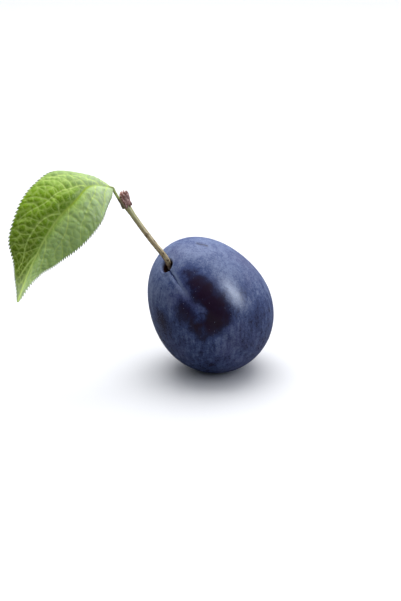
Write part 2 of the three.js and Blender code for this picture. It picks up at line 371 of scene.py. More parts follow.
class Graph:
    """Adds nodes to a geometry or shader tree, fed by numbers, vectors, names or wires."""

    def __init__(self, tree):
        self.tree = tree

    def node(self, kind, inputs=(), **settings):
        node = self.tree.nodes.new(kind)
        for name, value in settings.items():
            setattr(node, name, value)
        for name, value in dict(inputs).items():
            if isinstance(value, Wire):
                self.tree.links.new(value.socket, node.inputs[name])
            else:
                node.inputs[name].default_value = value
        return node

    def wire(self, kind, inputs=(), output=0, **settings):
        return Wire(self, self.node(kind, inputs, **settings).outputs[output])

    def maths(self, operation, *values):
        vectors = [is_vector(value) for value in values]
        if not any(vectors):
            return self.wire("ShaderNodeMath", enumerate(values), operation=operation)
        if operation == "MULTIPLY" and not all(vectors):
            vector, scale = values if vectors[0] else reversed(values)
            return self.wire("ShaderNodeVectorMath", {0: vector, "Scale": scale}, operation="SCALE")
        output = "Value" if operation in ("DOT_PRODUCT", "LENGTH", "DISTANCE") else "Vector"
        return self.wire("ShaderNodeVectorMath", enumerate(values), output, operation=operation)

    def bell(self, value, width):
        """1 where the value is 0, falling off over the width on both sides."""
        share = value / width
        return self.maths("EXPONENT", share * share * -1.0)

    def rise(self, value, low, high, start=0.0, end=1.0):
        """From start to end, smoothly, as the value goes from low to high."""
        inputs = {"Value": value, "From Min": low, "From Max": high, "To Min": start, "To Max": end}
        return self.wire("ShaderNodeMapRange", inputs, interpolation_type="SMOOTHSTEP")

    def noise(self, place, scale, detail=2.0, roughness=0.5, output=0):
        inputs = {"Vector": place, "Scale": scale, "Detail": detail, "Roughness": roughness}
        return self.wire("ShaderNodeTexNoise", inputs, output)

    def blend(self, share, first, second):
        """A colour between two colours."""
        inputs = {0: share, 6: first, 7: second}
        return self.wire("ShaderNodeMix", inputs, 2, data_type="RGBA")

    def layers(self, colour, *layers):
        """A colour with others laid over it in turn, each given as its share and its colour."""
        for share, over in layers:
            colour = self.blend(share, colour, over)
        return colour

    def split(self, place):
        node = self.node("ShaderNodeSeparateXYZ", {0: place})
        return [Wire(self, socket) for socket in node.outputs]

    def combine(self, x, y, z):
        return self.wire("ShaderNodeCombineXYZ", {0: x, 1: y, 2: z})

    def stretch(self, place, scale):
        """A place with each axis scaled on its own, for a pattern that runs in one direction."""
        return self.maths("MULTIPLY", place, scale)


def tree_inputs(tree):
    """A graph for a new tree, and the wires of its inputs by name."""
    graph = Graph(tree)
    source = graph.node("NodeGroupInput")
    return graph, {socket.name: Wire(graph, socket) for socket in source.outputs if socket.name}


def geometry_tree(name, counts, measures):
    """A geometry tree whose inputs are whole numbers, measures and a material, which each piece sets."""
    tree = bpy.data.node_groups.new(name, "GeometryNodeTree")
    tree.interface.new_socket("Geometry", in_out="INPUT", socket_type="NodeSocketGeometry")
    for kind, labels in (("Int", counts), ("Float", measures), ("Material", ("Material",))):
        for label in labels:
            tree.interface.new_socket(label, in_out="INPUT", socket_type="NodeSocket" + kind)
    tree.interface.new_socket("Geometry", in_out="OUTPUT", socket_type="NodeSocketGeometry")
    return tree_inputs(tree)


def end_tree(graph, geometry, material):
    """Ends a geometry tree with one smooth, real mesh that carries its material."""
    smooth_mesh = graph.wire("GeometryNodeSetShadeSmooth", {"Geometry": geometry})
    real = graph.wire("GeometryNodeRealizeInstances", {"Geometry": smooth_mesh})
    dressed = graph.wire("GeometryNodeSetMaterial", {"Geometry": real, "Material": material})
    graph.node("NodeGroupOutput", {"Geometry": dressed})
    return graph.tree


def store(graph, geometry, name, value, kind="FLOAT"):
    """Keeps a value on the geometry's points under a name, for the tree's later steps and the material."""
    inputs = {"Geometry": geometry, "Name": name, "Value": value}
    return graph.wire("GeometryNodeStoreNamedAttribute", inputs, data_type=kind, domain="POINT")


def recall(graph, name, kind="FLOAT"):
    return graph.wire("GeometryNodeInputNamedAttribute", {"Name": name}, data_type=kind)


def add_object(name, data):
    """A new object in the scene."""
    thing = bpy.data.objects.new(name, data)
    bpy.context.scene.collection.objects.link(thing)
    return thing


def grow(name, tree, values, start_mesh=None):
    """Runs a geometry tree once on an object of that name and keeps the result as its plain mesh."""
    mesh = start_mesh or bpy.data.meshes.new(name)
    piece = add_object(name, mesh)
    modifier = piece.modifiers.new("Growth", "NODES")
    modifier.node_group = tree
    for item in tree.interface.items_tree:
        if item.in_out == "INPUT" and item.name in values:
            modifier[item.identifier] = values[item.name]
    graph = bpy.context.evaluated_depsgraph_get()
    grown = bpy.data.meshes.new_from_object(
        piece.evaluated_get(graph), preserve_all_data_layers=True, depsgraph=graph
    )
    piece.modifiers.remove(modifier)
    piece.data = grown
    grown.name = name
    grown.materials.clear()
    grown.materials.append(values["Material"])
    grown.polygons.foreach_set("material_index", [0] * len(grown.polygons))
    if not grown.polygons:
        raise RuntimeError(name + " came out empty")
    return piece


def tree_values(settings, labels, material):
    """The values of a tree's inputs: each is the setting of the same name."""
    values = {label: getattr(settings, label.lower().replace(" ", "_")) for label in labels}
    values["Material"] = material
    return values


def polyline(name, points):
    """A mesh of points joined by edges, which a tree turns into a curve."""
    mesh = bpy.data.meshes.new(name)
    edges = [(i, i + 1) for i in range(len(points) - 1)]
    mesh.from_pydata([tuple(point) for point in points], edges, [])
    return mesh


# Fruit


def fruit_tree():
    """The fruit's skin: a sphere whose pole is the stem cavity, drawn out to the body's radius and sunk at
    the pit, the suture and the scratch."""
    graph, wires = geometry_tree("Fruit skin", FRUIT_COUNTS, FRUIT_MEASURES)
    maths = graph.maths
    ball = graph.wire("GeometryNodeMeshUVSphere", {"Segments": wires["Columns"], "Rings": wires["Rings"]})
    x, y, z = graph.split(graph.wire("GeometryNodeInputPosition"))
    ring = maths("ARCCOSINE", z) / math.pi
    angle = math.pi * ring * (0.3 + 0.7 * ring)
    even_turn = maths("ARCTAN2", y, x)
    turn = even_turn - 0.6 * maths("SINE", even_turn)

    side = SUTURE_DIRECTION.cross(CAVITY_DIRECTION).normalized()
    suture = CAVITY_DIRECTION.cross(side).normalized()
    sideways = maths("SINE", angle)
    cosine = maths("COSINE", turn)
    direction = maths("MULTIPLY", tuple(CAVITY_DIRECTION), maths("COSINE", angle))
    direction = direction + maths("MULTIPLY", tuple(suture), sideways * cosine)
    direction = direction + maths("MULTIPLY", tuple(-side), sideways * maths("SINE", turn))

    along = maths("DOT_PRODUCT", direction, tuple(LONG_AXIS))
    across = 1.0 - along * along
    is_stem_half = maths("GREATER_THAN", along, 0.0)
    half_length = wires["Stem half length"] * (APEX_TO_STEM + (1.0 - APEX_TO_STEM) * is_stem_half)
    ellipse = across / wires["Body radius"] ** 2.0 + (along / half_length) ** 2.0
    radius = (1.0 - SHOULDER_TAPER * along * across) / maths("SQRT", ellipse)

    from_pit = radius * angle
    pit_share = 1.0 / (1.0 + (from_pit / wires["Pit radius"]) ** float(PIT_STEEPNESS))
    sink = wires["Pit depth"] * pit_share
    sink = sink + wires["Dimple depth"] * graph.bell(from_pit, wires["Dimple spread"])
    on_suture_side = graph.rise(cosine, -0.2, 0.6)
    valley_start = graph.rise(from_pit, wires["Pit radius"], wires["Pit radius"] * 2.0)
    valley_end = graph.rise(angle, SUTURE_END_ANGLE - 0.5, SUTURE_END_ANGLE, 1.0, 0.0)
    waver = graph.noise(direction * radius, 260.0, 1.0) - 0.5
    aside = radius * sideways * maths("SINE", turn)
    valley = wires["Suture depth"] * graph.bell(aside, wires["Suture half width"])
    sink = sink + valley * on_suture_side * valley_start * valley_end

    # The crease is a sharp fold near the pit, with the skin a little raised along its left side
    fold_aside = aside + waver * FOLD_WAVER
    fold_fade = graph.rise(from_pit, 0.006, 0.0125, 1.0, 0.0) * graph.rise(from_pit, 0.0018, 0.003)
    fold_fade = fold_fade * on_suture_side
    sink = sink + wires["Crease depth"] * graph.bell(fold_aside, FOLD_HALF_WIDTH) * fold_fade
    lip_fade = graph.rise(from_pit, 0.007, 0.019, 1.0, 0.0) * graph.rise(from_pit, 0.0022, 0.0036)
    lip = graph.bell(aside + 0.0011, 0.0009) * 0.00022 + graph.bell(aside - 0.0012, 0.0010) * 0.00012
    sink = sink - lip * lip_fade * on_suture_side
    sink = sink - graph.bell(from_pit - PIT_RIM_DISTANCE, 0.0006) * PIT_RIM_HEIGHT

    place = direction * radius + tuple(BODY_CENTRE)
    scratch = SCRATCH_END - SCRATCH_START
    scratch_length = scratch.length
    to_start = place - tuple(SCRATCH_START)
    reach = maths("DOT_PRODUCT", to_start, tuple(scratch / scratch_length)) / scratch_length
    reach = maths("MINIMUM", maths("MAXIMUM", reach, 0.0), 1.0)
    from_scratch = maths("LENGTH", to_start - maths("MULTIPLY", tuple(scratch), reach))
    scratch_depth = SCRATCH_DEPTH * (1.0 - 0.75 * reach)
    sink = sink + scratch_depth * graph.bell(from_scratch, SCRATCH_HALF_WIDTH)

    lumps = graph.noise(place, 110.0, 2.0)
    fine_lumps = graph.noise(place, 420.0, 1.0)
    sink = sink + wires["Lump height"] * (lumps * 1.6 + fine_lumps * 0.25)

    skin = direction * (radius - sink) + tuple(BODY_CENTRE)
    low_x, low_y, low_z = graph.split(skin)
    rested = graph.combine(low_x, low_y, maths("SMOOTH_MAX", low_z, 0.0, wires["Flat edge"]))
    shaped = store(graph, ball, "pit", pit_share)
    # Where the skin material paints shade along the fold
    shaped = store(graph, shaped, "fold", graph.bell(fold_aside, FOLD_SHADE_HALF_WIDTH) * fold_fade)
    shaped = store(graph, shaped, "scratch", graph.bell(from_scratch, SCRATCH_MARK_HALF_WIDTH))
    # Where the skin material paints a highlight on the raised lip beside the fold
    lip_highlight = graph.bell(aside - 0.0002, LIP_HIGHLIGHT_HALF_WIDTH) * lip_fade * on_suture_side
    shaped = store(graph, shaped, "lip", lip_highlight)
    shaped = graph.wire("GeometryNodeSetPosition", {"Geometry": shaped, "Position": rested})
    return end_tree(graph, shaped, wires["Material"])


def lenticel_tree():
    """Small pale corky dots, scattered over the skin outside the pit and the flat spot."""
    graph, wires = geometry_tree("Lenticels", ("Seed",), ("Density", "Dot radius"))
    height = graph.split(graph.wire("GeometryNodeInputPosition"))[2]
    above_flat = graph.maths("GREATER_THAN", height, 0.0012)
    off_pit = graph.maths("LESS_THAN", recall(graph, "pit"), 0.02)
    inputs = {
        "Mesh": wires["Geometry"],
        "Density": wires["Density"] * above_flat * off_pit,
        "Seed": wires["Seed"],
    }
    scatter = graph.node("GeometryNodeDistributePointsOnFaces", inputs)
    radius = wires["Dot radius"]
    ball = graph.wire("GeometryNodeMeshIcoSphere", {"Radius": 1.0, "Subdivisions": 1})
    size_inputs = {2: 0.55, 3: 1.25, "Seed": wires["Seed"]}
    size = graph.wire("FunctionNodeRandomValue", size_inputs, 1, data_type="FLOAT")
    flat = graph.combine(radius * size, radius * size, radius * size * 0.35)
    dots = graph.wire("GeometryNodeInstanceOnPoints", {
        "Points": Wire(graph, scatter.outputs["Points"]),
        "Instance": ball,
        "Rotation": Wire(graph, scatter.outputs["Rotation"]),
        "Scale": flat,
    })
    return end_tree(graph, dots, wires["Material"])


def build_fruit(settings):
    tree = fruit_tree()
    values = tree_values(settings, FRUIT_COUNTS + FRUIT_MEASURES, skin_material(settings))
    fruit = grow("plum_fruit", tree, values)
    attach(fruit, "root")
    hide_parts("fruit")
    return fruit


def build_lenticels(settings):
    fruit = bpy.data.objects["plum_fruit"]
    dots = grow("plum_lenticels", lenticel_tree(), {
        "Density": settings.lenticels_per_square_metre,
        "Dot radius": settings.lenticel_radius,
        "Seed": settings.seed,
        "Material": lenticel_material(),
    }, fruit.data.copy())
    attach(dots, "root")
    return dots


# Stalk, petiole and spur


def stem_tree():
    """A bar swept along a route: its foot and top swell or taper, and it has shallow ridges along it and an
    uneven surface."""
    graph, wires = geometry_tree("Stem sweep", ("Steps", "Sides"), (
        "Foot radius", "Top radius", "Foot swell", "Foot share", "Foot taper", "Top swell", "Top share",
        "Ridges", "Ridge height", "Unevenness", "Length",
    ))
    maths = graph.maths
    route = graph.wire("GeometryNodeMeshToCurve", {"Mesh": wires["Geometry"]})
    route = graph.wire("GeometryNodeResampleCurve", {"Curve": route, "Count": wires["Steps"]})
    along = graph.wire("GeometryNodeSplineParameter")
    route = store(graph, route, "along", along)
    along = recall(graph, "along")
    radius = wires["Foot radius"] + (wires["Top radius"] - wires["Foot radius"]) * along
    radius = radius + wires["Foot swell"] * graph.rise(along, 0.0, wires["Foot share"], 1.0, 0.0)
    radius = radius + wires["Top swell"] * graph.rise(along, 1.0 - wires["Top share"], 1.0)
    radius = radius * graph.rise(along, 0.05, 0.17, wires["Foot taper"], 1.0)
    ring = graph.wire("GeometryNodeCurvePrimitiveCircle", {"Resolution": wires["Sides"], "Radius": 1.0})
    ring = store(graph, ring, "round", graph.wire("GeometryNodeInputPosition"), "FLOAT_VECTOR")
    inputs = {"Curve": route, "Profile Curve": ring, "Scale": radius, "Fill Caps": True}
    bar = graph.wire("GeometryNodeCurveToMesh", inputs)
    spot = recall(graph, "round", "FLOAT_VECTOR")
    x, y = graph.split(spot)[:2]
    turn = maths("ARCTAN2", y, x)
    ridge = maths("COSINE", turn * wires["Ridges"] + along * 2.0) * wires["Ridge height"]
    down_the_stem = graph.combine(0.0, 0.0, along * wires["Length"])
    grain = maths("MULTIPLY", spot, wires["Foot radius"]) + down_the_stem
    uneven = (graph.noise(grain, 700.0, 2.0) - 0.5) * wires["Unevenness"] * 2.0
    bar = store(graph, bar, "grain", grain, "FLOAT_VECTOR")
    offset = graph.wire("GeometryNodeInputNormal") * (ridge + uneven)
    bar = graph.wire("GeometryNodeSetPosition", {"Geometry": bar, "Offset": offset})
    return end_tree(graph, bar, wires["Material"])


def spur_tree():
    """A rough core with whorls of overlapping bud scales, their tips turned to the spur's end."""
    graph, wires = geometry_tree("Spur", SPUR_COUNTS, SPUR_MEASURES)
    maths = graph.maths
    route = graph.wire("GeometryNodeMeshToCurve", {"Mesh": wires["Geometry"]})
    smooth_route = graph.wire("GeometryNodeResampleCurve", {"Curve": route, "Count": 60})
    whorl_route = graph.wire("GeometryNodeResampleCurve", {"Curve": route, "Count": wires["Whorls"]})
    stagger = graph.wire("GeometryNodeInputIndex") * 2.4
    whorl_route = graph.wire("GeometryNodeSetCurveTilt", {"Curve": whorl_route, "Tilt": stagger})

    def tube(line, sides, caps):
        line = store(graph, line, "along", graph.wire("GeometryNodeSplineParameter"))
        line = store(graph, line, "axis", graph.wire("GeometryNodeInputTangent"), "FLOAT_VECTOR")
        along = recall(graph, "along")
        dome = maths("SQRT", 1.0 - 0.6 * along**6.0)
        ring = graph.wire("GeometryNodeCurvePrimitiveCircle", {"Resolution": sides, "Radius": 1.0})
        radius = wires["Core radius"] * dome
        inputs = {"Curve": line, "Profile Curve": ring, "Scale": radius, "Fill Caps": caps}
        return graph.wire("GeometryNodeCurveToMesh", inputs)

    core = tube(smooth_route, 40, True)
    place = graph.wire("GeometryNodeInputPosition")
    rough = (graph.noise(place, 1300.0, 3.0) - 0.5) * 0.0007
    offset = graph.wire("GeometryNodeInputNormal") * rough
    core = graph.wire("GeometryNodeSetPosition", {"Geometry": core, "Offset": offset})
    core = store(graph, core, "tip", 0.0)

    whorls = tube(whorl_route, wires["Scales per whorl"], False)
    normal = graph.wire("GeometryNodeInputNormal")
    axis = recall(graph, "axis", "FLOAT_VECTOR")
    facing = graph.wire("FunctionNodeAlignRotationToVector", {"Vector": axis}, axis="Z")
    facing = graph.wire(
        "FunctionNodeAlignRotationToVector", {"Rotation": facing, "Vector": normal}, axis="X", pivot_axis="Z"
    )
    jitter_inputs = {0: (-0.25, -0.30, -0.45), 1: (0.25, 0.30, 0.45), "Seed": wires["Seed"]}
    jitter = graph.wire("FunctionNodeRandomValue", jitter_inputs, 0, data_type="FLOAT_VECTOR")
    turn_inputs = {"Rotation": facing, "Rotate By": jitter}
    facing = graph.wire("FunctionNodeRotateRotation", turn_inputs, rotation_space="LOCAL")
    size_inputs = {2: 0.75, 3: 1.2, "Seed": wires["Seed"] + 1}
    size = graph.wire("FunctionNodeRandomValue", size_inputs, 1, data_type="FLOAT")

    # One bud scale: a flattened bead, pointed at its upper end and curled outwards there
    bead = graph.wire("GeometryNodeMeshUVSphere", {"Segments": 8, "Rings": 6, "Radius": 1.0})
    bead_x, bead_y, bead_z = graph.split(graph.wire("GeometryNodeInputPosition"))
    bead = store(graph, bead, "tip", graph.rise(bead_z, -0.2, 1.0))
    narrow = graph.rise(bead_z, 0.1, 1.0, 1.0, 0.55)
    curl = graph.rise(bead_z, 0.0, 1.0) * 0.30
    shaped = graph.combine(
        (bead_x * 0.36 + curl) * wires["Scale width"],
        bead_y * narrow * wires["Scale width"],
        bead_z * wires["Scale length"] * 0.6,
    )
    bead = graph.wire("GeometryNodeSetPosition", {"Geometry": bead, "Position": shaped})
    scales = graph.wire("GeometryNodeInstanceOnPoints", {
        "Points": whorls,
        "Instance": bead,
        "Rotation": facing,
        "Scale": graph.combine(size, size, size),
    })
    joined = graph.node("GeometryNodeJoinGeometry")
    for part in (scales, core):
        graph.tree.links.new(part.socket, joined.inputs[0])
    return end_tree(graph, Wire(graph, joined.outputs[0]), wires["Material"])


def build_stalk(settings):
    length = route_length(metres(STALK_ROUTE))
    end = 1 - (SPUR_LENGTH - STALK_INTO_SPUR) * MM / length
    route = even_route(metres(STALK_ROUTE), 0.0, end, 120)
    stalk = grow("plum_stalk", bpy.data.node_groups["Stem sweep"], {
        "Steps": 220,
        "Sides": 36,
        "Foot radius": settings.stalk_radius,
        "Top radius": settings.stalk_radius,
        "Foot swell": settings.stalk_foot_swell,
        "Foot share": 0.16,
        "Foot taper": 0.5,
        "Top swell": settings.stalk_top_swell,
        "Top share": 0.15,
        "Ridges": 5.0,
        "Ridge height": 0.00003,
        "Unevenness": 0.00005,
        "Length": length,
        "Material": stalk_material(settings),
    }, polyline("stalk_route", route))
    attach(stalk, "root")
    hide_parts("stalk")
    return stalk


def build_spur(settings):
    length = route_length(metres(STALK_ROUTE))
    start = 1 - (SPUR_LENGTH - SPUR_CORE_START) * MM / length
    route = even_route(metres(STALK_ROUTE), start, SPUR_CORE_END, 40)
    tree = spur_tree()
    values = tree_values(settings, SPUR_COUNTS + SPUR_MEASURES, spur_material(settings))
    spur = grow("plum_spur", tree, values, polyline("spur_route", route))
    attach(spur, "root")
    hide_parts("spur")
    return spur


# Leaf


def blade_guides(along):
    """Points at the same stations on the midrib, the left edge and the right edge."""
    return [curve_points(metres(guide), along) for guide in (MIDRIB, LEFT_EDGE, RIGHT_EDGE)]


def blade_points(along, across):
    """Points of the blade's middle surface, each half arched a little between the midrib and its edge."""
    along, across = np.broadcast_arrays(along, across)
    midrib, left, right = blade_guides(along)
    step = 1e-3
    ahead = curve_points(metres(MIDRIB), along + step) - curve_points(metres(MIDRIB), along - step)
    up = unit(np.cross(ahead, right - left))
    edge = np.where((across < 0)[..., None], left, right)
    reach = np.abs(across)[..., None]
    width = np.linalg.norm(edge - midrib, axis=-1, keepdims=True)
    return midrib + (edge - midrib) * reach + up * 4 * BLADE_ARCH * width * reach * (1 - reach)


def blade_normals(along, across):
    step = 0.004
    side_step = 0.06
    ahead = blade_points(np.minimum(along + step, 1), across)
    behind = blade_points(np.maximum(along - step, 0), across)
    right = blade_points(along, np.minimum(across + side_step, 1))
    left = blade_points(along, np.maximum(across - side_step, -1))
    return unit(np.cross(ahead - behind, right - left))


def vein_samples(places):
    """Closely spaced points on a vein, in space, with how far along the vein each lies."""
    share = np.linspace(0, 1, 160)
    flat = curve_points(np.array(places, float), share)
    return blade_points(flat[:, 0], flat[:, 1]), share


def point_tree(spots):
    """The spots in a tree that finds the closest ones quickly."""
    tree = KDTree(len(spots))
    for index, spot in enumerate(spots):
        tree.insert(spot, index)
    tree.balance()
    return tree


def nearest_vein(points, veins):
    """The distance from each point to the closest vein, and how far along that vein it lies."""
    samples = [vein_samples(places) for places in veins]
    spots = np.concatenate([spot for spot, share in samples])
    shares = np.concatenate([share for spot, share in samples])
    tree = point_tree(spots)
    found = [tree.find(point)[1:] for point in points.reshape(-1, 3)]
    distance = np.array([hit[1] for hit in found]).reshape(points.shape[:-1])
    share = shares[[hit[0] for hit in found]].reshape(points.shape[:-1])
    return distance, share


def net_distance(along, across, seed):
    """The distance to a seeded net of small cells, drawn out across the leaf's laterals, in metres."""
    random = np.random.default_rng(seed)
    half_width = NET_HALF_WIDTH * np.sin(np.pi * np.clip(along, 0.02, 0.98)) ** 0.6
    down = along * NET_LENGTH
    out = across * half_width
    side = np.sign(across)
    # Turned so that one axis runs with the laterals, forwards and outwards
    with_lateral = down * math.cos(NET_TURN) + np.abs(out) * math.sin(NET_TURN)
    over_lateral = (-down * math.sin(NET_TURN) + np.abs(out) * math.cos(NET_TURN)) / NET_STRETCH
    places = np.stack([with_lateral, over_lateral, side * NET_SIDE_GAP], axis=-1)
    grid = []
    for mirrored in (-1, 1):
        for i in range(-2, 34):
            for j in range(-24, 12):
                jitter = random.uniform(-NET_JITTER, NET_JITTER, 2)
                spot = ((i + jitter[0]) * NET_PITCH, (j + jitter[1]) * NET_PITCH, mirrored * NET_SIDE_GAP)
                grid.append(spot)
    tree = point_tree(grid)
    first = np.empty(along.shape)
    for index, place in enumerate(places.reshape(-1, 3)):
        hits = tree.find_n(place, 2)
        first.flat[index] = hits[1][2] - hits[0][2]
    return first * 0.5


def tooth_shape(along, teeth):
    """How far a toothed edge stands out: 0 in a notch and 1 on a point, with the points leaning forwards."""
    share = (along * teeth) % 1.0
    back = smooth(share, 0.0, 0.78)
    front = 1 - smooth(share, 0.80, 1.0)
    return np.minimum(back, front)


def leaf_fields(settings):
    """The blade's grid places and the relief, vein and net values at each of them."""
    rows = settings.rows
    columns = settings.columns
    along = np.linspace(0, 1, rows + 1)[:, None] * np.ones((1, columns + 1))
    across = np.ones((rows + 1, 1)) * np.linspace(-1, 1, columns + 1)[None, :]
    points = blade_points(along, across)
    main_distance, main_share = nearest_vein(points, LATERALS)
    branch_distance, branch_share = nearest_vein(points, BRANCHES)
    net = net_distance(along, across, settings.seed)
    midrib_distance = np.linalg.norm(points - curve_points(metres(MIDRIB), along), axis=-1)
    return {
        "along": along,
        "across": across,
        "points": points,
        "midrib": midrib_distance,
        "main": main_distance / (1.0 - 0.45 * main_share),
        "branch": branch_distance / (1.0 - 0.4 * branch_share),
        "net": net,
    }


def bell(distance, width):
    return np.exp(-((distance / width) ** 2))


def inside_ends(along, width):
    """0 at both ends of the blade, and 1 where it is further in than the width."""
    return smooth(np.minimum(along, 1 - along), 0.0, width)


def midrib_sink(along, settings):
    """How deep the midrib is sunk along the blade, less towards the tip."""
    return settings.midrib_depth * (1 - 0.6 * smooth(along, 0.3, 0.95))


def leaf_relief(fields, settings):
    """How far the blade puffs up between its veins, and the sunken midrib."""
    along = fields["along"]
    reach = np.abs(fields["across"])
    edge = 1 - 0.8 * smooth(reach, 0.86, 1.0)
    puff = settings.main_puff * (1 - bell(fields["main"], MAIN_VALLEY))
    puff = puff + settings.branch_puff * (1 - bell(fields["branch"], BRANCH_VALLEY))
    puff = puff + settings.net_puff * (1 - bell(fields["net"], NET_VALLEY))
    puff = puff * (1 - bell(fields["midrib"], MIDRIB_VALLEY)) - settings.blade_drop
    channel = midrib_sink(along, settings) * bell(fields["midrib"], MIDRIB_CHANNEL)
    return (puff - channel) * inside_ends(along, BLADE_END) * edge


def leaf_mesh(settings):
    """The closed blade: an upper and a lower face with the same grid, joined by a rim."""
    fields = leaf_fields(settings)
    relief = leaf_relief(fields, settings)
    along = fields["along"]
    across = fields["across"]
    rows = settings.rows
    columns = settings.columns

    fade = inside_ends(along, 0.045)
    near_edge = smooth(np.abs(across), 0.90, 1.0)
    offset = np.where(across < 0, 0.0, 0.37 / settings.teeth)
    tooth = tooth_shape(along + offset, settings.teeth)
    midrib, left, right = blade_guides(along)
    edge = np.where((across < 0)[..., None], left, right)
    width = np.maximum(np.linalg.norm(edge - midrib, axis=-1), 0.001)
    out = (settings.tooth_out + settings.tooth_in) * tooth - settings.tooth_in
    toothed_across = across * (1 + out * near_edge * fade / width)
    toothed_along = along + 0.35 / settings.teeth * tooth * near_edge * fade
    middle = blade_points(toothed_along, toothed_across)
    normal = blade_normals(along, across)

    # The margin waves gently
    wave = 0.00018 * np.sin(along * 31) * smooth(np.abs(across), 0.6, 1.0) * fade
    middle = middle + normal * (relief + wave)[..., None]
    thin = settings.thickness * (1 - 0.55 * near_edge)
    main_below = 0.00016 * bell(fields["main"], MAIN_RIDGE)
    veins_below = main_below + 0.00008 * bell(fields["branch"], BRANCH_RIDGE)
    upper = middle + normal * (thin / 2)[..., None]
    lower = middle - normal * (thin / 2 + veins_below * fade)[..., None]

    count = (rows + 1) * (columns + 1)
    vertices = np.concatenate([upper.reshape(-1, 3), lower.reshape(-1, 3)])
    index = np.arange(count).reshape(rows + 1, columns + 1)
    a, b = index[:-1, :-1].ravel(), index[:-1, 1:].ravel()
    d, c = index[1:, :-1].ravel(), index[1:, 1:].ravel()
    top = np.stack([a, d, c, b], axis=1)
    bottom = np.stack([a, b, c, d], axis=1) + count
    border = np.concatenate([index[0, :-1], index[:-1, -1], index[-1, :0:-1], index[:0:-1, 0]])
    following = np.roll(border, -1)
    rim = np.stack([border, following, following + count, border + count], axis=1)
    faces = np.concatenate([top, bottom, rim])

    mesh = bpy.data.meshes.new("plum_leaf")
    mesh.from_pydata(vertices.tolist(), [], faces.tolist())
    for_both_faces = {
        "vein": vein_strength(fields),
        "net": bell(fields["net"], NET_VEIN),
        "midrib": midrib_strength(fields),
        "margin": near_edge * tooth * fade,
        "along": along,
        "across": across,
    }
    for name, values in for_both_faces.items():
        keep_attribute(mesh, name, np.tile(values.ravel(), 2))
    keep_attribute(mesh, "underside", np.repeat([0.0, 1.0], count))
    mesh.shade_smooth()
    return mesh


def vein_strength(fields):
    main = bell(fields["main"], MAIN_VEIN)
    branch = 0.7 * bell(fields["branch"], BRANCH_VEIN)
    near_tip = 1 - 0.7 * smooth(fields["along"], 0.80, 0.92)
    return np.maximum(main, branch) * near_tip


def midrib_strength(fields):
    width = 0.00050 - 0.00026 * fields["along"]
    return bell(fields["midrib"], width)


def keep_attribute(mesh, name, values):
    attribute = mesh.attributes.new(name, "FLOAT", "POINT")
    attribute.data.foreach_set("value", np.asarray(values, np.float32))


def build_leaf(settings):
    leaf = add_object("plum_leaf", leaf_mesh(settings))
    leaf.data.materials.append(leaf_material(settings))
    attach(leaf, "root")
    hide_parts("leaf")
    return leaf


def build_petiole(settings):
    """The petiole, which runs on as the raised rib under the blade."""
    stations = np.linspace(0, RIB_END, 17)
    normals = blade_normals(stations, np.zeros(17))
    sink = RIB_SINK * MM * smooth(stations, 0.0, 0.1)
    dip = (midrib_sink(stations, settings) + settings.blade_drop) * inside_ends(stations, BLADE_END)
    under = curve_points(metres(MIDRIB), stations) - normals * (sink + dip)[:, None]
    points = np.concatenate([metres(PETIOLE_FOOT), under])
    route = even_route(points, 0.0, 1.0, 300)
    petiole = grow("plum_petiole", bpy.data.node_groups["Stem sweep"], {
        "Steps": 320,
        "Sides": 20,
        "Foot radius": settings.petiole_radius,
        "Top radius": settings.rib_tip_radius,
        "Foot swell": 0.00018,
        "Foot share": 0.03,
        "Foot taper": 1.0,
        "Top swell": 0.0,
        "Top share": 0.1,
        "Ridges": 3.0,
        "Ridge height": 0.00002,
        "Unevenness": 0.00002,
        "Length": route_length(points),
        "Material": petiole_material(),
    }, polyline("petiole_route", route))
    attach(petiole, "root")
    return petiole


# Materials


def shader_group(name, inputs, outputs):
    """A shader node group with the named inputs and outputs. Each is a socket type and its default."""
    tree = bpy.data.node_groups.new(name, "ShaderNodeTree")
    for label, (kind, default) in inputs.items():
        socket = tree.interface.new_socket(label, in_out="INPUT", socket_type="NodeSocket" + kind)
        socket.default_value = default
    for label, kind in outputs.items():
        tree.interface.new_socket(label, in_out="OUTPUT", socket_type="NodeSocket" + kind)
    return tree_inputs(tree)


def mottle_group():
    """Uneven colour: two scales of noise that shift a colour between a dark and a light tone."""
    graph, wires = shader_group("Mottle", {
        "Place": ("Vector", (0.0, 0.0, 0.0)),
        "Coarse scale": ("Float", 200.0),
        "Fine scale": ("Float", 1500.0),
        "Fine share": ("Float", 0.4),
        "Dark": ("Color", (0.0, 0.0, 0.0, 1.0)),
        "Light": ("Color", WHITE),
    }, {"Colour": "Color", "Tone": "Float"})
    coarse = graph.noise(wires["Place"], wires["Coarse scale"], 3.0, 0.6)
    fine = graph.noise(wires["Place"], wires["Fine scale"], 2.0, 0.6)
    tone = coarse + (fine - coarse) * wires["Fine share"]
    tone = graph.rise(tone, 0.3, 0.7)
    colour = graph.blend(tone, wires["Dark"], wires["Light"])
    graph.node("NodeGroupOutput", {"Colour": colour, "Tone": tone})
    return graph.tree


def grain_group():
    """Fine surface relief at two scales, as a height and as the normal that it gives."""
    graph, wires = shader_group("Grain", {
        "Place": ("Vector", (0.0, 0.0, 0.0)),
        "Scale": ("Float", 1500.0),
        "Height": ("Float", 0.00002),
    }, {"Normal": "Vector"})
    wide = graph.noise(wires["Place"], wires["Scale"], 3.0, 0.55)
    fine = graph.noise(wires["Place"], wires["Scale"] * 3.7, 2.0, 0.5)
    height = (wide + fine * 0.35) * wires["Height"]
    bump = graph.wire("ShaderNodeBump", {"Strength": 1.0, "Distance": 1.0, "Height": height})
    graph.node("NodeGroupOutput", {"Normal": bump})
    return graph.tree


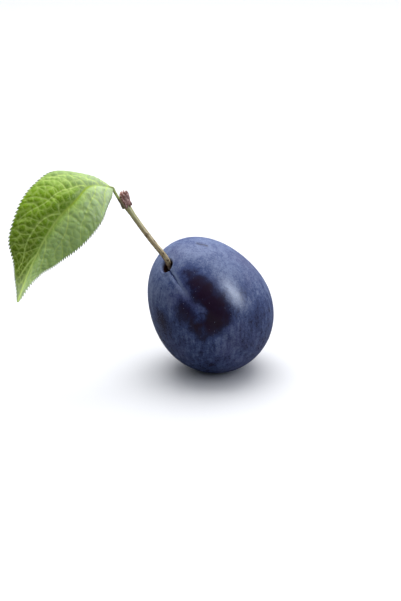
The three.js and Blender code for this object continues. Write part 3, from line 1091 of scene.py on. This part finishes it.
def patch_group():
    """A soft-edged round patch with a ragged outline."""
    graph, wires = shader_group("Patch", {
        "Place": ("Vector", (0.0, 0.0, 0.0)),
        "Centre": ("Vector", (0.0, 0.0, 0.0)),
        "Radius": ("Float", 0.005),
        "Softness": ("Float", 0.002),
        "Strength": ("Float", 1.0),
    }, {"Mask": "Float"})
    distance = graph.maths("DISTANCE", wires["Place"], wires["Centre"])
    inner = wires["Radius"] - wires["Softness"]
    outer = wires["Radius"] + wires["Softness"]
    graph.node("NodeGroupOutput", {"Mask": graph.rise(distance, inner, outer, 1.0, 0.0) * wires["Strength"]})
    return graph.tree


def use_group(graph, name, inputs):
    node = graph.node("ShaderNodeGroup", inputs, node_tree=bpy.data.node_groups[name])
    return {socket.name: Wire(graph, socket) for socket in node.outputs}


def mottle(graph, place, coarse_scale, fine_scale, dark, light, fine_share=0.4):
    """A colour that shifts between a dark and a light one, and the tone that it follows."""
    return use_group(graph, "Mottle", {
        "Place": place,
        "Coarse scale": coarse_scale,
        "Fine scale": fine_scale,
        "Fine share": fine_share,
        "Dark": opaque(dark),
        "Light": opaque(light),
    })


def grain(graph, place, scale, height):
    """The normal of a surface with fine relief."""
    return use_group(graph, "Grain", {"Place": place, "Scale": scale, "Height": height})["Normal"]


def new_material(name):
    """A material emptied of nodes but for its output, and its graph."""
    material = bpy.data.materials.new(name)
    material.use_nodes = True
    material.node_tree.nodes.clear()
    return material, Graph(material.node_tree)


def end_material(graph, inputs):
    shader = graph.wire("ShaderNodeBsdfPrincipled", inputs)
    graph.node("ShaderNodeOutputMaterial", {"Surface": shader})


def object_place(graph):
    return graph.wire("ShaderNodeTexCoord", output="Object")


def attribute(graph, name, output="Fac"):
    return graph.wire("ShaderNodeAttribute", output=output, attribute_name=name)


def opaque(colour):
    return (*colour[:3], 1.0)


def most(graph, masks):
    """The strongest of several masks."""
    result = masks[0]
    for mask in masks[1:]:
        result = graph.maths("MAXIMUM", result, mask)
    return result


def patches(graph, place, spots, softness):
    masks = []
    for centre, radius, strength in spots:
        inputs = {
            "Place": place,
            "Centre": tuple(Vector(centre) * MM),
            "Radius": radius * MM,
            "Softness": softness * MM,
            "Strength": strength,
        }
        masks.append(use_group(graph, "Patch", inputs)["Mask"])
    return most(graph, masks)


def matte_edge(graph, level):
    """A specular level that fades where the surface is seen at a flat angle, as on a waxy bloom or a leaf."""
    facing = graph.wire("ShaderNodeLayerWeight", {"Blend": 0.5}, "Facing")
    return graph.rise(facing, 0.35, 0.85, level, level * 0.12)


def skin_material(settings):
    """Dark purple skin under a bluish bloom, paler towards the top, rubbed off at the front and in faint
    streaks
    down the sides. Painted light: shade along the fold by the pit, a highlight on the raised lip beside it,
    and a near-black pit, partly its own red-brown and partly painted shade."""
    material, graph = new_material("plum_skin")
    place = object_place(graph)
    height = graph.split(place)[2]
    drift = graph.noise(place, 190.0, 3.0, output=1)
    ragged = place + (drift - (0.5, 0.5, 0.5)) * 0.006
    rubbed = patches(graph, ragged, RUBBED_PATCHES, 3.4)
    islands = patches(graph, ragged, BLOOM_ISLANDS, 1.3)
    rubbed = rubbed * (1.0 - islands)

    clouds = graph.noise(place, 75.0, 3.0, 0.55)
    mottling = graph.noise(place, 420.0, 4.0, 0.65)
    speckle = graph.noise(place, 1700.0, 3.0, 0.65)
    streaks = graph.noise(graph.stretch(place, (1.0, 1.0, 0.14)), 640.0, 3.0, 0.6)
    low_down = graph.rise(height, 0.026, 0.044, 1.0, 0.25)
    # The bloom value, and with it the colour, is paler towards the top
    bloom = 0.53 + graph.rise(height, 0.006, 0.050, 0.0, 0.28)
    bloom = bloom + (clouds - 0.5) * 0.8
    bloom = bloom + (mottling - 0.5) * 0.75
    bloom = bloom + (streaks - 0.5) * low_down * 1.0
    bloom = bloom + (speckle - 0.5) * 0.85
    bloom = bloom * (1.0 - rubbed * 0.9) - rubbed * 0.08
    # Painted highlight: paler bloom along the raised lip beside the fold
    bloom = bloom + attribute(graph, "lip") * 0.55
    # Painted shade: darker along the fold itself
    bloom = bloom - attribute(graph, "fold") * 0.8

    ramp = graph.node("ShaderNodeValToRGB", {0: bloom})
    stops = ramp.color_ramp.elements
    stops[0].position = 0.0
    stops[0].color = opaque(settings.skin_colour)
    stops[1].position = 1.0
    stops[1].color = opaque(settings.thick_bloom_colour)
    for position, colour in ((0.26, settings.thin_bloom_colour), (0.58, settings.bloom_colour)):
        stop = stops.new(position)
        stop.color = opaque(colour)
    colour = Wire(graph, ramp.outputs[0])
    violet = graph.rise(graph.noise(place, 55.0, 2.0), 0.45, 0.7) * graph.rise(bloom, 0.2, 0.6, 0.0, 0.5)
    colour = graph.blend(violet, colour, graph.blend(0.5, colour, (0.115, 0.085, 0.19, 1.0)))
    scratch = attribute(graph, "scratch") * graph.rise(mottling, 0.35, 0.65, 0.3, 0.9)
    colour = graph.blend(scratch, colour, (0.045, 0.045, 0.085, 1.0))
    # The pit is near black: partly its own red-brown skin, partly painted shade in the hollow
    pit = graph.rise(attribute(graph, "pit"), 0.03, 0.32)
    pit_brown_and_shade = mottle(graph, place, 600.0, 2500.0, (0.010, 0.003, 0.003), (0.050, 0.014, 0.008))["Colour"]
    colour = graph.blend(pit, colour, pit_brown_and_shade)
    gloss = graph.rise(bloom, 0.10, 0.80, 0.24, 0.38)
    roughness = gloss + (speckle - 0.5) * 0.10
    normal = grain(graph, place, 1300.0, 0.000012)
    end_material(graph, {
        "Base Color": colour,
        "Roughness": roughness,
        "Normal": normal,
        "Specular IOR Level": matte_edge(graph, 0.19),
    })
    return material


def lenticel_material():
    material, graph = new_material("plum_lenticel")
    place = object_place(graph)
    colour = mottle(graph, place, 300.0, 2600.0, (0.09, 0.10, 0.19), (0.23, 0.25, 0.38))["Colour"]
    normal = grain(graph, place, 5000.0, 0.000008)
    end_material(graph, {"Base Color": colour, "Roughness": 0.65, "Normal": normal})
    return material


def stalk_material(settings):
    """Yellow-green bark, greener at the top, with brown flecks. Painted shade turns one side red-brown and
    gathers the flecks there, and darkens the reddish-brown foot where it goes into the pit.
    """
    material, graph = new_material("plum_stalk_bark")
    grain_place = attribute(graph, "grain", "Vector")
    along = attribute(graph, "along")
    fibres = graph.stretch(grain_place, (1.0, 1.0, 0.10))
    base = mottle(graph, fibres, 1300.0, 3600.0, settings.stalk_dark_colour, settings.stalk_colour)["Colour"]
    green = graph.rise(along, 0.55, 0.95)
    # Painted shade: the side of the stalk that this faces is darkened red-brown and carries more flecks
    to_shade_side = graph.maths("DOT_PRODUCT", attribute(graph, "round", "Vector"), (0.5, 0.87, 0.0))
    fleck_tone = graph.noise(graph.stretch(grain_place, (1.0, 1.0, 0.35)), 1500.0, 3.0, 0.6)
    # More flecks on the side in painted shade
    fleck_tone = fleck_tone + graph.rise(to_shade_side, -0.4, 0.8) * 0.07
    flecks = graph.rise(fleck_tone, 0.55, 0.64) * graph.rise(along, 0.75, 0.5, 0.3, 0.9)
    # The foot is reddish-brown, darkened further as painted shade where it goes down into the pit
    foot = graph.rise(along, 0.10, 0.20, 1.0, 0.0)
    pale_tip = graph.rise(along, 0.07, 0.11, 0.8, 0.0)
    colour = graph.layers(
        base,
        (green * 0.65, opaque(settings.stalk_top_colour)),
        # painted shade on one side
        (graph.rise(to_shade_side, 0.0, 0.9) * 0.65, (0.27, 0.125, 0.085, 1.0)),
        (flecks, (0.14, 0.075, 0.035, 1.0)),
        # reddish-brown foot with painted shade
        (foot * 0.6, (0.26, 0.13, 0.10, 1.0)),
        (pale_tip, (0.56, 0.47, 0.38, 1.0)),
    )
    normal = grain(graph, fibres, 2600.0, 0.00003)
    end_material(graph, {
        "Base Color": colour,
        "Roughness": 0.46,
        "Normal": normal,
        "Specular IOR Level": 0.25,
    })
    return material


def petiole_material():
    """Yellow-green petiole and rib, brown where it leaves the spur."""
    material, graph = new_material("plum_petiole_bark")
    place = attribute(graph, "grain", "Vector")
    along = attribute(graph, "along")
    fibres = graph.stretch(place, (1.0, 1.0, 0.12))
    colour = mottle(graph, fibres, 1500.0, 4200.0, (0.26, 0.33, 0.09), (0.46, 0.54, 0.19))["Colour"]
    foot = graph.rise(along, 0.05, 0.07, 1.0, 0.0)
    colour = graph.blend(foot * 0.85, colour, (0.15, 0.09, 0.06, 1.0))
    normal = grain(graph, fibres, 3000.0, 0.00002)
    end_material(graph, {
        "Base Color": colour,
        "Roughness": 0.6,
        "Normal": normal,
        "Specular IOR Level": 0.15,
    })
    return material


def spur_material(settings):
    """Rough red-brown bark, paler and greyer towards the scales' tips: dry tips and a painted highlight."""
    material, graph = new_material("plum_spur_bark")
    place = object_place(graph)
    bark = mottle(graph, place, 900.0, 4200.0, settings.spur_dark_colour, settings.spur_colour, 0.5)
    # Painted highlight on the scale tips, with their dry paleness; the core and the scales' bases stay darker
    tip = graph.rise(attribute(graph, "tip"), 0.25, 1.0)
    colour = graph.blend(tip * 0.55, bark["Colour"], opaque(settings.spur_tip_and_highlight_colour))
    normal = grain(graph, place, 4200.0, 0.00006)
    end_material(graph, {"Base Color": colour, "Roughness": 0.72, "Normal": normal})
    return material


def leaf_material(settings):
    """Green above with a paler net of veins and a bright midrib, paler and duller beneath, with brown points
    on the teeth. Above, painted shade darkens the left half towards the tip, and painted sheen pales the
    right half, the base and the tip."""
    material, graph = new_material("plum_leaf_blade")
    place = object_place(graph)
    along = attribute(graph, "along")
    across = attribute(graph, "across")
    under = attribute(graph, "underside")
    vein = attribute(graph, "vein")
    net = attribute(graph, "net")
    midrib = attribute(graph, "midrib")
    tissue = mottle(graph, place, 160.0, 1500.0, settings.leaf_dark_colour, settings.leaf_colour, 0.45)
    cell_inputs = {"Vector": place, "Scale": 1500.0}
    cells = graph.wire("ShaderNodeTexVoronoi", cell_inputs, "Distance", feature="DISTANCE_TO_EDGE")
    fine_net = graph.rise(cells, 0.0, 0.14, 1.0, 0.0)
    # Painted shade: the left half darker from the middle to the tip
    painted_shade_left = graph.rise(across, 0.0, -0.3) * graph.rise(along, 0.42, 0.72, 0.0, 0.85)
    # Painted sheen: the right half paler
    sheen_right_half = graph.rise(across, -0.1, 0.3) * 0.62
    # Painted sheen: the base paler
    sheen_base = graph.rise(along, 0.10, 0.40, 0.62, 0.0)
    # Painted sheen: the tip paler
    pale_tip = graph.rise(along, 0.80, 1.0, 0.0, 0.6)
    vein_colour = opaque(settings.vein_colour)
    bright = graph.blend(graph.rise(along, 0.35, 0.6), opaque(settings.midrib_colour), vein_colour)
    midrib = midrib * graph.rise(along, 0.14, 0.27, 0.25, 0.9)
    margin = graph.rise(attribute(graph, "margin"), 0.45, 0.95)
    below = graph.layers(
        opaque(settings.underside_colour),
        (vein * 0.6 + midrib * 0.4, (0.34, 0.42, 0.20, 1.0)),
        (tissue["Tone"] * 0.25, (0.24, 0.33, 0.17, 1.0)),
    )
    colour = graph.layers(
        tissue["Colour"],
        # The next four layers are painted shade and painted sheen
        (painted_shade_left, (0.100, 0.165, 0.001, 1.0)),
        (sheen_right_half, opaque(settings.leaf_sheen_colour)),
        (sheen_base, (0.56, 0.68, 0.50, 1.0)),
        (pale_tip, (0.46, 0.56, 0.36, 1.0)),
        (fine_net * 0.20, vein_colour),
        (net * 0.32, vein_colour),
        (vein * 0.85, vein_colour),
        (midrib, bright),
        (margin * 0.7, (0.045, 0.035, 0.015, 1.0)),
        (under, below),
    )
    gloss = graph.rise(tissue["Tone"], 0.0, 1.0, 0.46, 0.40) + under * 0.22
    fine = graph.noise(place, 2600.0, 2.0)
    height = (graph.rise(cells, 0.0, 0.25) * 0.00003 + fine * 0.00002) * (1.0 - vein * 0.6)
    normal = graph.wire("ShaderNodeBump", {"Strength": 0.8, "Distance": 1.0, "Height": height})
    end_material(graph, {
        "Base Color": colour,
        "Roughness": gloss,
        "Normal": normal,
        "Specular IOR Level": matte_edge(graph, 0.09),
        "Subsurface Weight": 0.12,
        "Subsurface Scale": 0.0008,
        "Subsurface Radius": (0.6, 1.0, 0.2),
    })
    return material


# Stage


def floor_material(settings):
    """A pale floor that throws less light back than the camera sees on it, so that the fruit keeps a dark
    underside."""
    material, graph = new_material("pale_floor")
    place = object_place(graph)
    shade = [0.99 * value for value in settings.floor_colour]
    colour = mottle(graph, place, 6.0, 60.0, shade, settings.floor_colour)["Colour"]
    is_camera = graph.wire("ShaderNodeLightPath", output="Is Camera Ray")
    colour = graph.blend(is_camera, opaque([settings.floor_bounce] * 3), colour)
    end_material(graph, {"Base Color": colour, "Roughness": 0.6, "Specular IOR Level": 0.3})
    return material


def build_floor(settings):
    half = settings.floor_size / 2
    mesh = bpy.data.meshes.new("floor")
    corners = [(-half, -half), (half, -half), (half, half), (-half, half)]
    mesh.from_pydata([(x, y, -settings.floor_gap) for x, y in corners], [], [(0, 1, 2, 3)])
    floor = add_object("floor", mesh)
    mesh.materials.append(floor_material(settings))
    return floor


def build_camera(settings):
    data = bpy.data.cameras.new("camera")
    data.lens = settings.lens
    data.sensor_width = 36.0
    data.clip_start = 0.01
    data.clip_end = 20.0
    camera = add_object("camera", data)
    pitch = math.radians(settings.camera_pitch)
    back = Vector((0, -math.cos(pitch), math.sin(pitch)))
    up = Vector((0, math.sin(pitch), math.cos(pitch)))
    right = Vector((1, 0, 0))
    aim = BODY_CENTRE + right * settings.aim_right + up * settings.aim_up
    camera.location = aim + back * settings.camera_distance
    camera.rotation_euler = (math.pi / 2 - pitch, 0, 0)
    bpy.context.scene.camera = camera


def build_world(settings):
    """A white studio: bright above, behind and at the right, dim in front, plain white to the camera."""
    world = bpy.data.worlds.new("studio")
    world.use_nodes = True
    world.node_tree.nodes.clear()
    graph = Graph(world.node_tree)
    direction = graph.wire("ShaderNodeTexCoord", output="Generated")
    to_bright_side = tuple(Vector(settings.bright_side).normalized())
    bright = graph.rise(graph.maths("DOT_PRODUCT", direction, to_bright_side), -0.10, 0.85)
    light = settings.dim_side + bright * (1.0 - settings.dim_side)
    tint = graph.blend(bright, (0.84, 0.90, 1.0, 1.0), WHITE)
    room = graph.wire("ShaderNodeBackground", {"Color": tint, "Strength": light * settings.room_light})
    seen = graph.wire("ShaderNodeBackground", {"Color": WHITE, "Strength": 1.0})
    is_camera = graph.wire("ShaderNodeLightPath", output="Is Camera Ray")
    mixed = graph.wire("ShaderNodeMixShader", {0: is_camera, 1: room, 2: seen})
    graph.node("ShaderNodeOutputWorld", {"Surface": mixed})
    bpy.context.scene.world = world


def add_softbox(name, place, aim, size, power):
    """A rectangular light at a place, turned to what it lights."""
    data = bpy.data.lights.new(name, "AREA")
    data.shape = "RECTANGLE"
    data.size, data.size_y = size
    data.energy = power
    light = add_object(name, data)
    light.location = place
    light.rotation_euler = (Vector(aim) - Vector(place)).to_track_quat("-Z", "Y").to_euler()
    return light


def build_lights(settings):
    """A narrow softbox that only shows as a streak on glossy skin, because its light would make the right
    side too pale, and a wide one above."""
    aim = BODY_CENTRE
    strip_place = aim + STRIP_DIRECTION * STRIP_DISTANCE
    strip = add_softbox("strip_light", strip_place, aim, STRIP_SIZE, settings.strip_power)
    strip.data.color = STRIP_TINT
    strip.visible_diffuse = False
    add_softbox("top_light", TOP_LIGHT_PLACE, aim, TOP_LIGHT_SIZE, settings.top_power)


# Settings, operators and panel


def length_property(name, description, default):
    return bpy.props.FloatProperty(
        name=name, description=description, default=default, unit="LENGTH", precision=5
    )


def count_property(name, description, default):
    return bpy.props.IntProperty(name=name, description=description, default=default)


def number_property(name, description, default, unit="NONE"):
    return bpy.props.FloatProperty(name=name, description=description, default=default, unit=unit)


def colour_property(name, description, default):
    return bpy.props.FloatVectorProperty(
        name=name, description=description, default=default, subtype="COLOR", size=3, min=0.0, max=1.0
    )


class PlumFruitSettings(bpy.types.PropertyGroup):
    columns: count_property("Columns", "Faces round the fruit", 320)
    rings: count_property("Rings", "Faces from pit to apex", 240)
    body_radius: length_property("Body radius", "Half the fruit's width across its long axis", 22.15 * MM)
    stem_half_length: length_property("Stem half length", "From the middle to the stem end", 27.3 * MM)
    pit_radius: length_property("Pit radius", "Radius of the stem cavity", 2.35 * MM)
    pit_depth: length_property("Pit depth", "Depth of the stem cavity", 4.6 * MM)
    dimple_depth: length_property("Dimple depth", "Depth of the hollow round the cavity", 0.9 * MM)
    dimple_spread: length_property("Dimple spread", "How far the hollow reaches", 5.0 * MM)
    suture_depth: length_property("Suture depth", "Depth of the suture's valley", 0.55 * MM)
    suture_half_width: length_property("Suture half width", "Half the valley's width", 2.3 * MM)
    crease_depth: length_property("Crease depth", "Depth of the sharp fold by the pit", 0.45 * MM)
    lump_height: length_property("Lump height", "Height of the skin's unevenness", 0.10 * MM)
    flat_edge: length_property("Flat edge", "Rounding at the edge of the flat spot", 0.5 * MM)
    lenticels_per_square_metre: number_property(
        "Lenticel density", "Corky dots on each square metre of skin", 90000.0
    )
    lenticel_radius: length_property("Lenticel radius", "Radius of a corky dot", 0.13 * MM)
    seed: count_property("Seed", "Seed of the scattered dots", 7)
    skin_colour: colour_property("Skin", "Skin with the bloom rubbed off", (0.020, 0.0075, 0.026))
    thin_bloom_colour: colour_property("Thin bloom", "Skin under a thin bloom", (0.022, 0.025, 0.080))
    bloom_colour: colour_property("Bloom", "Skin under its usual bloom", (0.056, 0.087, 0.235))
    thick_bloom_colour: colour_property("Thick bloom", "Thick, pale bloom", (0.205, 0.260, 0.450))


class PlumStemSettings(bpy.types.PropertyGroup):
    stalk_radius: length_property("Stalk radius", "Radius of the stalk", 0.98 * MM)
    stalk_foot_swell: length_property("Foot swell", "Extra radius where the stalk meets the fruit", 0.02 * MM)
    stalk_top_swell: length_property("Top swell", "Extra radius where the stalk meets the spur", 0.28 * MM)
    core_radius: length_property("Spur core radius", "Radius of the spur under its scales", 1.45 * MM)
    whorls: count_property("Whorls", "Rings of bud scales", 5)
    scales_per_whorl: count_property("Scales per whorl", "Scales in a ring", 7)
    scale_length: length_property("Scale length", "Length of a bud scale", 1.9 * MM)
    scale_width: length_property("Scale width", "Half the width of a bud scale", 0.80 * MM)
    seed: count_property("Seed", "Seed of the scales' turns and sizes", 3)
    stalk_colour: colour_property("Stalk", "Stalk's light colour", (0.82, 0.71, 0.42))
    stalk_dark_colour: colour_property("Stalk, dark", "Stalk's dark colour", (0.36, 0.25, 0.13))
    stalk_top_colour: colour_property("Stalk top", "Green of the stalk's upper end", (0.50, 0.55, 0.23))
    spur_colour: colour_property("Spur", "Spur's light bark", (0.58, 0.28, 0.24))
    spur_dark_colour: colour_property("Spur, dark", "Spur's dark bark", (0.10, 0.034, 0.034))
    # Scale tips: their dry colour and a painted highlight
    spur_tip_and_highlight_colour: colour_property("Scale tips", "Dry tips of the scales", (0.86, 0.60, 0.55))


class PlumLeafSettings(bpy.types.PropertyGroup):
    rows: count_property("Rows", "Faces along the blade", 360)
    columns: count_property("Columns", "Faces across the blade", 130)
    thickness: length_property("Thickness", "Thickness of the blade", 0.32 * MM)
    teeth: count_property("Teeth", "Teeth on each side", 56)
    tooth_out: length_property("Tooth height", "How far a tooth's point stands out", 0.42 * MM)
    tooth_in: length_property("Notch depth", "How far a notch goes in", 0.4 * MM)
    main_puff: length_property("Puff between laterals", "Rise of the blade between laterals", 0.34 * MM)
    branch_puff: length_property("Puff between branches", "Rise between the laterals' branches", 0.24 * MM)
    net_puff: length_property("Puff in the net", "Rise in the small cells of the net", 0.15 * MM)
    blade_drop: length_property("Blade drop", "How far the blade lies below its middle surface", 0.70 * MM)
    midrib_depth: length_property("Midrib depth", "How far the midrib is sunk", 0.3 * MM)
    petiole_radius: length_property("Petiole radius", "Radius of the petiole", 0.54 * MM)
    rib_tip_radius: length_property("Rib tip radius", "Radius of the rib near the tip", 0.22 * MM)
    seed: count_property("Seed", "Seed of the small net", 11)
    leaf_colour: colour_property("Blade", "Blade's light green", (0.26, 0.455, 0.010))
    leaf_dark_colour: colour_property("Blade, dark", "Blade's dark green", (0.12, 0.245, 0.002))
    # painted sheen on the right half
    leaf_sheen_colour: colour_property("Blade, pale", "Paler half of the blade", (0.52, 0.73, 0.33))
    vein_colour: colour_property("Veins", "Laterals and their net", (0.62, 0.80, 0.22))
    midrib_colour: colour_property("Midrib", "Midrib near the petiole", (0.36, 0.52, 0.03))
    underside_colour: colour_property("Underside", "Blade beneath", (0.29, 0.38, 0.20))


class PlumStageSettings(bpy.types.PropertyGroup):
    floor_size: length_property("Floor size", "Side of the floor", 12.0)
    floor_gap: length_property("Floor gap", "How far the floor lies below the flat spot", 0.03 * MM)
    floor_colour: colour_property("Floor", "Colour of the floor", (0.88, 0.89, 0.92))
    floor_bounce: number_property("Floor bounce", "How much light the floor throws back", 0.28)
    lens: number_property("Lens", "Focal length in millimetres", 97.14)
    camera_pitch: number_property("Camera pitch", "How far the camera looks down, in degrees", 22.0)
    camera_distance: length_property("Camera distance", "From the camera to the fruit's depth", 600.0 * MM)
    aim_right: length_property("Aim right", "Middle of the picture, right of the fruit", -3.055 * MM)
    aim_up: length_property("Aim up", "Middle of the picture, above the fruit", 1.369 * MM)
    room_light: number_property("Room light", "Strength of the white room", 1.0)
    dim_side: number_property("Dim side", "Light of the dim side, as a share of the bright side", 0.10)
    bright_side: bpy.props.FloatVectorProperty(
        name="Bright side", description="Direction of the room's bright side", default=(0.22, 0.40, 0.89),
        subtype="DIRECTION",
    )
    strip_power: number_property("Strip light", "Power of the narrow softbox at the right", 5.6, "POWER")
    top_power: number_property("Top light", "Power of the wide softbox above", 5.2, "POWER")


class PLUM_OT_groups(bpy.types.Operator):
    """Makes the node groups that several pieces share"""

    bl_idname = "plum.make_groups"
    bl_label = "Make shared node groups"

    def execute(self, context):
        stem_tree()
        mottle_group()
        grain_group()
        patch_group()
        return {"FINISHED"}


class PLUM_OT_fruit(bpy.types.Operator):
    """Grows the fruit's skin with its pit, suture and bloom"""

    bl_idname = "plum.add_fruit"
    bl_label = "Add fruit"

    def execute(self, context):
        build_fruit(context.scene.plum_fruit)
        return {"FINISHED"}


class PLUM_OT_lenticels(bpy.types.Operator):
    """Scatters small corky dots over the skin"""

    bl_idname = "plum.add_lenticels"
    bl_label = "Add lenticels"

    def execute(self, context):
        build_lenticels(context.scene.plum_fruit)
        return {"FINISHED"}


class PLUM_OT_stalk(bpy.types.Operator):
    """Grows the stalk from the pit to the spur"""

    bl_idname = "plum.add_stalk"
    bl_label = "Add stalk"

    def execute(self, context):
        build_stalk(context.scene.plum_stem)
        return {"FINISHED"}


class PLUM_OT_spur(bpy.types.Operator):
    """Grows the spur stub with its bud scales"""

    bl_idname = "plum.add_spur"
    bl_label = "Add spur"

    def execute(self, context):
        build_spur(context.scene.plum_stem)
        return {"FINISHED"}


class PLUM_OT_leaf(bpy.types.Operator):
    """Makes the toothed, veined blade and its petiole"""

    bl_idname = "plum.add_leaf"
    bl_label = "Add leaf and petiole"

    def execute(self, context):
        build_leaf(context.scene.plum_leaf)
        build_petiole(context.scene.plum_leaf)
        return {"FINISHED"}


class PLUM_OT_stage(bpy.types.Operator):
    """Sets up the pale floor, the white room, the softboxes and the camera"""

    bl_idname = "plum.add_stage"
    bl_label = "Add stage"

    def execute(self, context):
        settings = context.scene.plum_stage
        build_floor(settings)
        build_world(settings)
        build_lights(settings)
        build_camera(settings)
        context.scene.view_settings.view_transform = "Standard"
        return {"FINISHED"}


OPERATORS = (
    PLUM_OT_groups,
    PLUM_OT_stage,
    PLUM_OT_fruit,
    PLUM_OT_lenticels,
    PLUM_OT_stalk,
    PLUM_OT_spur,
    PLUM_OT_leaf,
)


class PLUM_PT_panel(bpy.types.Panel):
    """Lists the plum's pieces in the order in which they are made"""

    bl_idname = "PLUM_PT_panel"
    bl_label = "Plum"
    bl_space_type = "VIEW_3D"
    bl_region_type = "UI"
    bl_category = "Plum"

    def draw(self, context):
        for operator in OPERATORS:
            self.layout.operator(operator.bl_idname)


SETTINGS = {
    "plum_fruit": PlumFruitSettings,
    "plum_stem": PlumStemSettings,
    "plum_leaf": PlumLeafSettings,
    "plum_stage": PlumStageSettings,
}


def register():
    for name, group in SETTINGS.items():
        bpy.utils.register_class(group)
        setattr(bpy.types.Scene, name, bpy.props.PointerProperty(type=group))
    for operator in OPERATORS:
        bpy.utils.register_class(operator)
    bpy.utils.register_class(PLUM_PT_panel)


def unregister():
    bpy.utils.unregister_class(PLUM_PT_panel)
    for operator in reversed(OPERATORS):
        bpy.utils.unregister_class(operator)
    for name, group in reversed(SETTINGS.items()):
        delattr(bpy.types.Scene, name)
        bpy.utils.unregister_class(group)


def main():
    register()
    bpy.ops.plum.make_groups()
    bpy.ops.plum.add_stage()
    bpy.ops.plum.add_fruit()
    bpy.ops.plum.add_lenticels()
    bpy.ops.plum.add_stalk()
    bpy.ops.plum.add_spur()
    bpy.ops.plum.add_leaf()
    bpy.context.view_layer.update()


if __name__ == "__main__":
    main()
